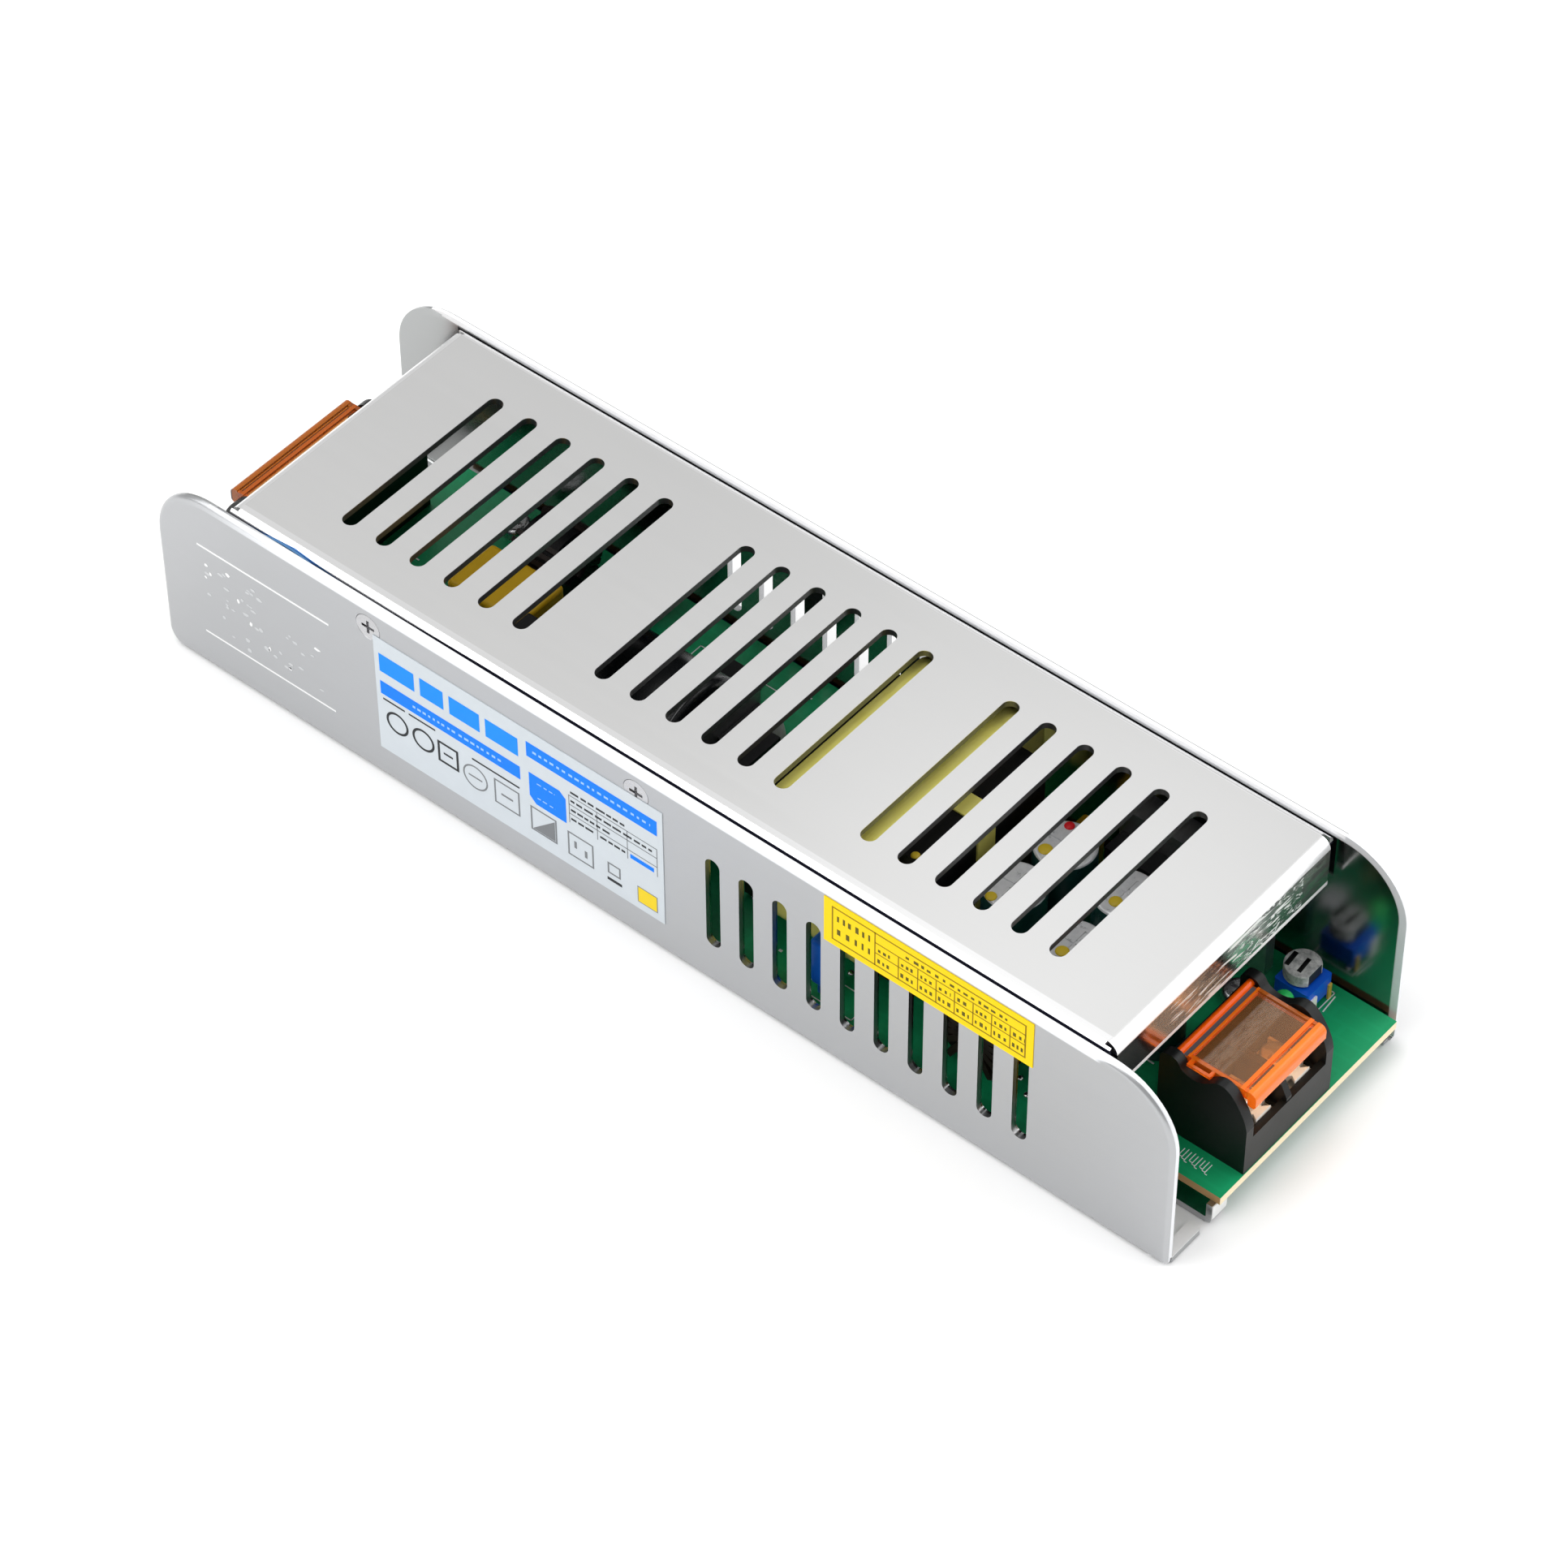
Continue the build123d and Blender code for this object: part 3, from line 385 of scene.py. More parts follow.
def steel(name, tint=(0.62, 0.62, 0.63), rough=0.28):
    m, nt, b = new_mat(name)
    co = coords(nt)
    n1 = noise(nt, co, 900, 3)
    n2 = noise(nt, co, 220, 2)
    link(nt, mix(nt, n2, tint, tuple(v * 0.8 for v in tint)), b.inputs["Base Color"])
    b.inputs["Metallic"].default_value = 1.0
    link(nt, math_n(nt, "ADD", math_n(nt, "MULTIPLY", n1, 0.14), rough - 0.07), b.inputs["Roughness"])
    bump(nt, b, n1, 0.12, 0.00003)
    return m


M["steel"] = steel("screw_steel")
M["tin"] = steel("tinned_metal", (0.82, 0.81, 0.77), 0.30)


def bright_plate():
    """Matt bright-tinned clamp plate."""
    m, nt, b = new_mat("bright_tin")
    co = coords(nt)
    n1 = noise(nt, co, 700, 3)
    n2 = noise(nt, co, 260, 2)
    link(nt, mix(nt, n2, (0.99, 0.98, 0.93), (0.90, 0.87, 0.80)), b.inputs["Base Color"])
    b.inputs["Metallic"].default_value = 0.0
    link(nt, math_n(nt, "ADD", math_n(nt, "MULTIPLY", n1, 0.14), 0.34), b.inputs["Roughness"])
    bump(nt, b, n1, 0.12, 0.00003)
    return m


M["plate"] = bright_plate()
M["screw_bright"] = steel("zinc_screw", (0.90, 0.90, 0.89), 0.34)


def plastic(name, col, rough=0.42, var=0.12, grain=900, bumpv=0.18, spec=0.5, coat=0.0):
    m, nt, b = new_mat(name)
    co = coords(nt)
    n1 = noise(nt, co, grain, 3)
    n2 = noise(nt, co, 160, 3)
    link(nt, mix(nt, n2, tuple(v * (1 - var) for v in col), tuple(min(1, v * (1 + var)) for v in col)), b.inputs["Base Color"])
    link(nt, math_n(nt, "ADD", math_n(nt, "MULTIPLY", n2, 0.10), rough - 0.05), b.inputs["Roughness"])
    b.inputs["Specular IOR Level"].default_value = spec
    b.inputs["Coat Weight"].default_value = coat
    b.inputs["Coat Roughness"].default_value = 0.12
    bump(nt, b, n1, bumpv, 0.00004)
    return m


M["black"] = plastic("black_plastic", (0.0045, 0.0052, 0.0052), 0.40, 0.15, 1500, 0.2, spec=0.28)
M["black_soft"] = plastic("epoxy_black", (0.010, 0.010, 0.011), 0.55, 0.2, 1300, 0.3, spec=0.3)
M["phenolic"] = plastic("phenolic_black", (0.02, 0.018, 0.017), 0.5, 0.2, 800, 0.25)
def trimmer_body_mat():
    """Blue moulded body; the two flat legs on its +X side are pale and gold."""
    m, nt, b = new_mat("trimmer_blue")
    co = coords(nt)
    x, y, z = sep(nt, co)
    n2 = noise(nt, co, 160, 3)
    n1 = noise(nt, co, 1400, 3)
    blue = mix(nt, n2, (0.002, 0.095, 0.66), (0.003, 0.125, 0.80))
    leg = math_n(nt, "GREATER_THAN", x, 0.08993)
    legc = mix(nt, math_n(nt, "GREATER_THAN", y, 0.0217), (0.97, 0.95, 0.88), (0.72, 0.47, 0.06))
    link(nt, mix(nt, leg, blue, legc), b.inputs["Base Color"])
    link(nt, math_n(nt, "ADD", math_n(nt, "MULTIPLY", n1, 0.1), 0.28), b.inputs["Roughness"])
    bump(nt, b, n1, 0.12, 0.00004)
    return m


M["trim_blue"] = trimmer_body_mat()
M["disc_blue"] = plastic("disc_blue", (0.010, 0.16, 0.78), 0.30, 0.18, 300, 0.25, spec=0.3)
M["disc_green"] = plastic("disc_green", (0.02, 0.06, 0.045), 0.35, 0.2, 300, 0.3)
M["film_cap"] = plastic("film_yellow", (0.66, 0.40, 0.012), 0.34, 0.1, 700, 0.12, spec=0.25)
M["fuse"] = plastic("fuse_ceramic", (0.72, 0.71, 0.66), 0.5, 0.06, 900, 0.1)
M["resistor"] = plastic("resistor_tan", (0.55, 0.38, 0.17), 0.35, 0.12, 900, 0.1)
M["wire"] = plastic("copper_wire", (0.018, 0.012, 0.009), 0.42, 0.25, 900, 0.1, spec=0.25)


def ferrite():
    m, nt, b = new_mat("ferrite")
    co = coords(nt)
    n1 = noise(nt, co, 2200, 4)
    n2 = noise(nt, co, 120, 3)
    link(nt, mix(nt, n2, (0.003, 0.003, 0.0035), (0.008, 0.008, 0.009)), b.inputs["Base Color"])
    b.inputs["Metallic"].default_value = 0.0
    b.inputs["Specular IOR Level"].default_value = 0.15
    link(nt, math_n(nt, "ADD", math_n(nt, "MULTIPLY", n1, 0.25), 0.35), b.inputs["Roughness"])
    bump(nt, b, n1, 0.3, 0.00005)
    return m


M["ferrite"] = ferrite()


def tape():
    """Yellow polyester tape wound round the coil: overlapping turns and a faint weave of wire under it."""
    m, nt, b = new_mat("tape_yellow")
    co = coords(nt)
    w = node(nt, "ShaderNodeTexWave", wave_type="BANDS", bands_direction="X")
    w.inputs["Scale"].default_value = 260
    w.inputs["Distortion"].default_value = 2.0
    w.inputs["Detail"].default_value = 2.0
    link(nt, co, w.inputs["Vector"])
    n2 = noise(nt, co, 180, 3)
    col = mix(nt, n2, (0.92, 0.82, 0.14), (1.0, 0.93, 0.30))
    link(nt, col, b.inputs["Base Color"])
    b.inputs["Roughness"].default_value = 0.22
    b.inputs["Coat Weight"].default_value = 0.4
    b.inputs["Coat Roughness"].default_value = 0.12
    h = math_n(nt, "ADD", w.outputs["Fac"], math_n(nt, "MULTIPLY", n2, 1.5))
    bump(nt, b, h, 0.25, 0.00012)
    return m


M["tape"] = tape()


def board():
    """Solder mask over tracks, cut fibre edge."""
    m, nt, b = new_mat("green_board")
    co = coords(nt)
    x, y, z = sep(nt, co)
    # tracks: two directions of soft-edged copper under the mask
    br = node(nt, "ShaderNodeTexBrick")
    br.inputs["Scale"].default_value = 105
    br.inputs["Mortar Size"].default_value = 0.035
    br.inputs["Mortar Smooth"].default_value = 0.4
    br.inputs["Color1"].default_value = (0.0, 0.0, 0.0, 1)
    br.inputs["Color2"].default_value = (0.25, 0.25, 0.25, 1)
    br.inputs["Mortar"].default_value = (1, 1, 1, 1)
    br.offset = 0.37
    link(nt, mapping(nt, co, (0.6, 0.9, 0.0)), br.inputs["Vector"])
    tr = br.outputs["Color"]
    n1 = noise(nt, co, 60, 2)
    base = mix(nt, n1, (0.005, 0.285, 0.105), (0.010, 0.345, 0.135))
    trf = math_n(nt, "MULTIPLY", tr, 0.10)
    base = mix(nt, trf, base, (0.02, 0.50, 0.22))
    edge = math_n(nt, "MULTIPLY", between(nt, z, 0.00421, 0.00573), 1.0)
    fib = noise(nt, mapping(nt, co, (300, 300, 5200)), 1.0, 3)
    ecol = mix(nt, fib, (0.90, 0.74, 0.46), (0.98, 0.88, 0.66))
    # Painted shade: the cut edge is cream only at the board's end faces and painted darker brown on the other edges.
    ecol = mix(nt, math_n(nt, "LESS_THAN", absx(nt, co), 0.10062), ecol, mix(nt, fib, (0.40, 0.23, 0.09), (0.52, 0.32, 0.14)))
    col = mix(nt, edge, base, ecol)
    link(nt, col, b.inputs["Base Color"])
    rr = math_n(nt, "ADD", math_n(nt, "MULTIPLY", edge, 0.35), 0.30)
    link(nt, rr, b.inputs["Roughness"])
    b.inputs["Specular IOR Level"].default_value = 0.28
    bump(nt, b, tr, 0.05, 0.00004)
    return m


M["board"] = board()


def amber(name, c, half, shade_dim=1.0):
    """Clear orange thermoplastic: deep colour in the thick bar, rims and nose, a thin panel one can see through."""
    m, nt, b = new_mat(name)
    co = coords(nt)
    ax = absx(nt, co)
    v = math_n(nt, "ABSOLUTE", math_n(nt, "SUBTRACT", sep(nt, co)[1], c))
    n2 = noise(nt, co, 240, 2)
    side = math_n(nt, "GREATER_THAN", v, half - 0.00062)
    # Painted shade: the far side rim is a darker orange.
    back_side_painted_shade = both(nt, side, math_n(nt, "GREATER_THAN", sep(nt, co)[1], c))
    rib = either(nt, between(nt, ax, 0.08795, 0.08842), between(nt, ax, 0.09748, 0.09818))
    web = both(nt, between(nt, ax, 0.08712, 0.08795), math_n(nt, "LESS_THAN", v, half - 0.0002))
    bar = math_n(nt, "LESS_THAN", ax, 0.08712)
    nose = math_n(nt, "GREATER_THAN", ax, 0.09888)
    col = mix(nt, n2, (0.86, 0.44, 0.16), (0.98, 0.52, 0.20))
    tr = math_n(nt, "ADD", 0.93, 0.0)
    for k, c2, t2 in ((side, (1.0, 0.22, 0.012), 0.55), (back_side_painted_shade, (0.55, 0.15, 0.02), 0.45), (rib, (1.0, 0.22, 0.012), 0.34), (nose, (1.0, 0.27, 0.015), 0.42),
                      (web, (0.105, 0.11, 0.125), 0.0), (bar, (1.0, 0.115, 0.0), 0.0)):
        col = mix(nt, k, col, c2)
        tr = math_n(nt, "ADD", math_n(nt, "MULTIPLY", tr, math_n(nt, "SUBTRACT", 1.0, k)), math_n(nt, "MULTIPLY", k, t2))
    # Painted shade: the input flap is dimmed toward dark brown, and its outermost edge is painted darker still.
    if shade_dim < 1.0:
        outer = math_n(nt, "GREATER_THAN", ax, 0.10012)
        col = mix(nt, 1.0 - shade_dim, col, (0.02, 0.004, 0.0))
        col = mix(nt, outer, col, (0.06, 0.018, 0.004))
    link(nt, col, b.inputs["Base Color"])
    link(nt, tr, b.inputs["Transmission Weight"])
    b.inputs["IOR"].default_value = 1.46
    link(nt, math_n(nt, "ADD", math_n(nt, "MULTIPLY", n2, 0.04), 0.03), b.inputs["Roughness"])
    b.inputs["Specular IOR Level"].default_value = 0.35
    bump(nt, b, n2, 0.04, 0.00006)
    out = [n for n in nt.nodes if n.type == "OUTPUT_MATERIAL"][0]
    lp = node(nt, "ShaderNodeLightPath")
    tb = node(nt, "ShaderNodeBsdfTransparent")
    tb.inputs["Color"].default_value = (1.0, 0.88, 0.74, 1)
    ms = node(nt, "ShaderNodeMixShader")
    link(nt, math_n(nt, "MULTIPLY", lp.outputs["Is Shadow Ray"], 0.97), ms.inputs[0])
    link(nt, b.outputs[0], ms.inputs[1])
    link(nt, tb.outputs[0], ms.inputs[2])
    link(nt, ms.outputs[0], out.inputs[0])
    return m


M["amber"] = amber("orange_clear", -0.00085, 0.0086)
# The input flap is the same orange with painted shade.
M["amber_in_shaded"] = amber("orange_clear_input", 0.0012, 0.01335, 0.5)


def film():
    m, nt, b = new_mat("blue_film")
    co = coords(nt)
    n1 = noise(nt, co, 90, 3)
    link(nt, mix(nt, n1, (0.06, 0.19, 0.42), (0.11, 0.30, 0.58)), b.inputs["Base Color"])
    b.inputs["Roughness"].default_value = 0.18
    b.inputs["Transmission Weight"].default_value = 0.25
    bump(nt, b, n1, 0.1, 0.0002)
    return m


M["film"] = film()


def lamp_mat():
    m, nt, b = new_mat("lamp_green")
    co = coords(nt)
    n1 = noise(nt, co, 500, 2)
    link(nt, mix(nt, n1, (0.02, 0.62, 0.13), (0.05, 0.74, 0.18)), b.inputs["Base Color"])
    b.inputs["Transmission Weight"].default_value = 0.15
    b.inputs["Roughness"].default_value = 0.12
    bump(nt, b, n1, 0.05, 0.0001)
    return m


M["lamp"] = lamp_mat()


def dial_mat():
    """Pale grey moulding with a rough mottled face; the recesses carry painted shade, near black."""
    m, nt, b = new_mat("trimmer_white")
    co = coords(nt)
    x, y, z = sep(nt, co)
    n1 = noise(nt, co, 700, 4, 0.7)
    n2 = noise(nt, co, 2600, 3, 0.7)
    face = ramp(nt, n1, [(0.32, (0.24, 0.25, 0.25)), (0.5, (0.50, 0.51, 0.50)), (0.68, (0.74, 0.75, 0.73))])
    dx = math_n(nt, "SUBTRACT", x, 0.0865)
    dy = math_n(nt, "SUBTRACT", y, 0.0217)
    rad = math_n(nt, "SQRT", math_n(nt, "ADD", math_n(nt, "MULTIPLY", dx, dx), math_n(nt, "MULTIPLY", dy, dy)))
    # Painted shade: the recess in the middle of the dial is painted near black.
    deep = both(nt, math_n(nt, "LESS_THAN", z, 0.01301), math_n(nt, "LESS_THAN", rad, 0.00282))
    link(nt, mix(nt, deep, face, (0.006, 0.007, 0.007)), b.inputs["Base Color"])
    b.inputs["Roughness"].default_value = 0.5
    bump(nt, b, math_n(nt, "ADD", n1, n2), 0.4, 0.00008)
    return m


M["dial"] = dial_mat()


def can_mat(name, sleeve, stripe_dir, stripe_col, axis, zc=0.0, metal_at=None):
    """Shrink sleeve: the sleeve colour with a faint mottle."""
    m, nt, b = new_mat(name)
    co = coords(nt)
    n1 = noise(nt, co, 140, 3)
    col = mix(nt, n1, tuple(v * 0.8 for v in sleeve), tuple(v * 1.2 for v in sleeve))
    link(nt, col, b.inputs["Base Color"])
    b.inputs["Roughness"].default_value = 0.25
    bump(nt, b, n1, 0.2, 0.0001)
    return m


M["can_black"] = can_mat("can_sleeve_black", (0.008, 0.009, 0.010), None, None, None)


def can_green():
    """Dark green sleeve below, bare scored top above the sleeve's rolled edge."""
    m, nt, b = new_mat("can_sleeve_green")
    co = coords(nt)
    x, y, z = sep(nt, co)
    n1 = noise(nt, co, 160, 3)
    n3 = noise(nt, co, 900, 3)
    # tops are above 0.0255 (tall cans) or close to 0.0195 (short can), inside the rolled edge
    tall = math_n(nt, "GREATER_THAN", z, 0.02548)
    short = math_n(nt, "MULTIPLY", between(nt, z, 0.01948, 0.0205), math_n(nt, "GREATER_THAN", x, 0.0712))
    top = math_n(nt, "MAXIMUM", tall, short)
    col = mix(nt, top, mix(nt, n1, (0.006, 0.045, 0.042), (0.012, 0.075, 0.07)), mix(nt, n3, (0.62, 0.63, 0.64), (0.92, 0.92, 0.93)))
    link(nt, col, b.inputs["Base Color"])
    link(nt, math_n(nt, "MULTIPLY", top, 0.25), b.inputs["Metallic"])
    link(nt, math_n(nt, "ADD", math_n(nt, "MULTIPLY", n3, 0.1), 0.24), b.inputs["Roughness"])
    bump(nt, b, n1, 0.2, 0.0001)
    return m


M["can_green"] = can_green()


def silicone():
    m, nt, b = new_mat("silicone_grey")
    co = coords(nt)
    n1 = noise(nt, co, 420, 3)
    link(nt, mix(nt, n1, (0.50, 0.51, 0.51), (0.66, 0.67, 0.66)), b.inputs["Base Color"])
    b.inputs["Roughness"].default_value = 0.38
    b.inputs["Subsurface Weight"].default_value = 0.15
    b.inputs["Subsurface Radius"].default_value = (0.001, 0.001, 0.001)
    bump(nt, b, n1, 0.5, 0.0004)
    return m


M["glue"] = silicone()


def foil(name, col, rough=0.35, metal=0.0, var=0.04, spec=0.08):
    m, nt, b = new_mat(name)
    co = coords(nt)
    n1 = noise(nt, co, 240, 3)
    n2 = noise(nt, co, 1400, 2)
    link(nt, mix(nt, n1, tuple(v * (1 - var) for v in col), tuple(min(1, v * (1 + var)) for v in col)), b.inputs["Base Color"])
    b.inputs["Metallic"].default_value = metal
    b.inputs["Specular IOR Level"].default_value = spec
    link(nt, math_n(nt, "ADD", math_n(nt, "MULTIPLY", n1, 0.08), rough - 0.04), b.inputs["Roughness"])
    bump(nt, b, n2, 0.06, 0.00003)
    return m


M["label"] = foil("label_white", (0.60, 0.645, 0.68), 0.40)
M["sticker"] = foil("label_yellow", (0.98, 0.66, 0.004), 0.36)
M["ink_blue"] = foil("ink_blue", (0.004, 0.205, 0.93), 0.38)
M["ink_pale"] = foil("ink_pale", (0.008, 0.26, 0.93), 0.38)
M["ink_black"] = foil("ink_black", (0.03, 0.032, 0.035), 0.42)
M["ink_grey"] = foil("ink_grey", (0.20, 0.21, 0.22), 0.42)
M["ink_gold"] = foil("ink_gold", (0.30, 0.20, 0.005), 0.40)
M["ink_mark"] = foil("ink_mark", (0.12, 0.10, 0.01), 0.40)
M["ink_yellow"] = foil("ink_yellow", (0.85, 0.62, 0.02), 0.36)
M["ink_white"] = foil("ink_white", (0.34, 0.56, 0.93), 0.40)
M["silk"] = foil("silk_white", (0.78, 0.80, 0.78), 0.5)
M["etch"] = foil("etched_mark", (0.88, 0.88, 0.88), 0.45, metal=0.3)
M["etch_soft"] = foil("etched_faint", (0.60, 0.61, 0.62), 0.45, metal=0.4)
M["solder"] = steel("solder", (0.80, 0.80, 0.79), 0.22)

pairs = {
    "chassis": "chassis", "cover": "cover", "cover_screws": "steel", "insulating_sheet": "film",
    "circuit_board": "board", "board_standoffs": "steel", "board_screws": "steel",
    "output_block": "black", "input_block": "black", "output_flap": "amber", "input_flap": "amber_in_shaded",
    "output_terminal_screws": "screw_bright", "input_terminal_screws": "screw_bright",
    "output_clamp_plates": "plate", "input_clamp_plates": "plate", "output_contacts": "tin", "input_contacts": "tin",
    "trimmer_body": "trim_blue", "trimmer_dial": "dial", "status_lamp": "lamp",
    "fuse": "fuse", "fuse_clips": "tin", "varistor": "disc_blue", "inrush_thermistor": "disc_green",
    "line_capacitor": "film_cap", "filter_choke_core": "ferrite", "filter_choke_coils": "wire", "filter_choke_base": "phenolic",
    "suppression_capacitors": "disc_blue", "bridge_rectifier": "black_soft", "storage_capacitor": "can_black",
    "switch_heatsink": "heatsink", "switch_transistors": "black_soft", "controller_chips": "black_soft",
    "transformer_core": "ferrite", "transformer_winding": "tape", "transformer_base": "phenolic", "core_tape": "tape",
    "output_heatsink": "heatsink", "output_rectifiers": "black_soft", "output_capacitors": "can_green",
    "output_choke_core": "ferrite", "output_choke_coil": "wire", "small_resistors": "resistor",
    "film_capacitors": "film_cap", "glue_blobs": "glue", "rating_label": "label", "selector_sticker": "sticker",
}
for n, k in pairs.items():
    dress(n, M[k])
missing = [n for n in N if n not in pairs]
if missing:
    print("UNDRESSED", missing)


# ------------------------------------------------------------------ printed and small pieces
def flat_shapes(name, polys, mats, body="base", thick=0.00002):
    """polys: list of (material index, [3-D points in mm], outward normal) laid just over a surface, as thin closed prisms."""
    bm = bmesh.new()
    for mi, pts, nrm in polys:
        nv = Vector(nrm) * thick
        lo = [bm.verts.new(Vector(p) * MM) for p in pts]
        hi = [bm.verts.new(Vector(p) * MM + nv) for p in pts]
        f = bm.faces.new(hi); f.material_index = mi
        f = bm.faces.new(list(reversed(lo))); f.material_index = mi
        for i in range(len(pts)):
            j = (i + 1) % len(pts)
            f = bm.faces.new((lo[i], lo[j], hi[j], hi[i])); f.material_index = mi
    bmesh.ops.recalc_face_normals(bm, faces=bm.faces)
    me = bpy.data.meshes.new(name)
    bm.to_mesh(me); bm.free()
    for m in mats:
        me.materials.append(m)
    ob = bpy.data.objects.new(name, me)
    sc.collection.objects.link(ob)
    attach(ob, body)
    return ob


def wall_rect(x0, x1, z0, z1, y):
    return [(x0, y, z0), (x1, y, z0), (x1, y, z1), (x0, y, z1)]


def frame_rects(x0, x1, z0, z1, t):
    return [(x0, x1, z0, z0 + t), (x0, x1, z1 - t, z1), (x0, x0 + t, z0 + t, z1 - t), (x1 - t, x1, z0 + t, z1 - t)]


rng = random.Random(7)
YL = -28.75 - 0.12 - 0.004
FACE = (0, -1, 0)
lab = []
def L(mi, x0, x1, z0, z1):
    lab.append((mi, wall_rect(x0, x1, z0, z1, YL - (0.011 if mi == 2 else 0.0)), FACE))
# blue fields
L(0, -52.7, -24.0, 19.3, 22.15)
L(0, -22.5, 3.5, 25.7, 28.9)
lab.append((0, [(-22.2, YL, 17.2), (-20.9, YL, 15.9), (-14.8, YL, 15.9), (-14.8, YL, 21.2), (-16.0, YL, 22.3), (-22.2, YL, 22.3)], FACE))
# plain pale bars where the heading would be
for x0, x1 in ((-52.6, -45.4), (-44.2, -39.4), (-38.2, -32.0), (-30.8, -24.2)):
    L(1, x0, x1, 24.3, 28.2)
# white dashes on the blue fields, each a thin line of even marks
def dashes(mi, x0, x1, z0, z1, w=(0.6, 1.3), gap=(0.3, 0.6)):
    x = x0
    while x < x1:
        a = min(x + rng.uniform(*w), x1)
        L(mi, x, a, z0, z1)
        x = a + rng.uniform(*gap)
dashes(2, -46.0, -27.5, 20.5, 20.95, (0.4, 0.9), (0.35, 0.7))
dashes(2, -21.2, 2.2, 27.05, 27.5, (0.4, 0.9), (0.35, 0.7))
for z in (20.6, 17.4):
    dashes(2, -20.6, -17.0, z, z + 0.2)
# black rule with a gap, then a row of plain outlined boxes
L(3, -52.3, -47.8, 18.15, 18.5)
L(3, -47.0, -41.5, 18.15, 18.5)
L(3, -34.0, -24.3, 17.0, 17.35)
def boxed(x0, x1, z0, z1, t=0.3, mi=4):
    for r in frame_rects(x0, x1, z0, z1, t):
        L(mi, *r)
def ring(cx, cz, r, t, mi=4, n=28):
    for i in range(n):
        a0, a1 = 2 * math.pi * i / n, 2 * math.pi * (i + 1) / n
        lab.append((mi, [(cx + (r - t) * math.cos(a0), YL, cz + (r - t) * math.sin(a0)), (cx + r * math.cos(a0), YL, cz + r * math.sin(a0)),
                         (cx + r * math.cos(a1), YL, cz + r * math.sin(a1)), (cx + (r - t) * math.cos(a1), YL, cz + (r - t) * math.sin(a1))], FACE))
ring(-49.6, 14.3, 2.3, 0.45, 3)
ring(-44.2, 14.3, 2.3, 0.45, 3)
boxed(-41.2, -36.9, 12.0, 16.6, 0.45, 3)
L(3, -40.0, -38.1, 14.1, 14.5)
ring(-33.5, 13.2, 2.55, 0.3)
L(4, -34.9, -32.1, 13.05, 13.35)
boxed(-29.6, -24.4, 10.6, 15.9)
L(4, -28.2, -25.8, 13.0, 13.4)
boxed(-22.2, -16.9, 9.6, 14.9)
lab.append((4, [(-21.8, YL, 10.0), (-17.3, YL, 10.0), (-17.3, YL, 14.3)], FACE))
boxed(-14.7, -9.5, 9.2, 14.4)
L(4, -13.4, -12.9, 11.4, 12.9)
L(4, -11.3, -10.8, 10.6, 12.1)
L(3, -6.8, -3.9, 9.0, 9.6)
boxed(-6.7, -4.1, 10.6, 13.0, 0.3)
# a small table on the right
for z in (22.6, 20.6, 18.6):
    L(4, -14.2, 3.4, z, z + 0.16)
for z, a, b_ in ((23.3, -13.8, -3.0), (21.4, -13.8, 2.4), (19.4, -13.8, -6.0), (17.4, -13.8, -9.4), (17.4, -8.0, -3.0)):
    dashes(3, a, b_, z, z + 0.42, (0.8, 1.8), (0.25, 0.5))
for xx in (-14.2, -8.6, -2.6, 3.3):
    L(4, xx, xx + 0.14, 16.6, 22.7)
L(0, -2.0, 2.7, 17.1, 18.0)
# a plain yellow patch in the lower right corner
L(5, -0.6, 3.1, 8.4, 11.6)
for r in frame_rects(-0.75, 3.25, 8.25, 11.75, 0.16):
    L(4, *r)
flat_shapes("label_print", lab, [M["ink_blue"], M["ink_pale"], M["ink_white"], M["ink_black"], M["ink_grey"], M["ink_yellow"]])

# sticker print: a ruled table with plain marks
stk = []
def S(mi, x0, x1, z0, z1):
    stk.append((mi, wall_rect(x0, x1, z0, z1, YL), FACE))
for r in frame_rects(37.2, 73.2, 27.2, 34.4, 0.26):
    S(0, *r)
S(0, 45.2, 45.42, 27.2, 34.4)
for z in (32.1, 29.9):
    S(0, 45.3, 73.2, z, z + 0.2)
xs = [45.3, 49.6, 53.2, 56.6, 60.0, 63.4, 66.8, 70.2]
for x in xs[1:]:
    S(0, x, x + 0.2, 27.3, 32.1)
def sd(x0, x1, z0, z1, w, gap, mi=1):
    x = x0
    while x < x1:
        a = min(x + rng.uniform(*w), x1)
        S(mi, x, a, z0, z1 - rng.uniform(0, 0.25))
        x = a + rng.uniform(*gap)
sd(38.2, 44.4, 31.6, 33.0, (0.35, 0.7), (0.55, 0.9))
sd(38.2, 44.4, 28.8, 30.2, (0.35, 0.7), (0.75, 1.1))
sd(51.0, 70.0, 32.8, 33.5, (0.4, 0.9), (0.4, 0.9))
for x in xs:
    sd(x + 0.6, x + 2.8, 30.5, 31.3, (0.3, 0.6), (0.35, 0.6))
    sd(x + 0.5, x + 2.8, 28.1, 29.0, (0.3, 0.6), (0.35, 0.6))
flat_shapes("sticker_print", stk, [M["ink_gold"], M["ink_mark"]])

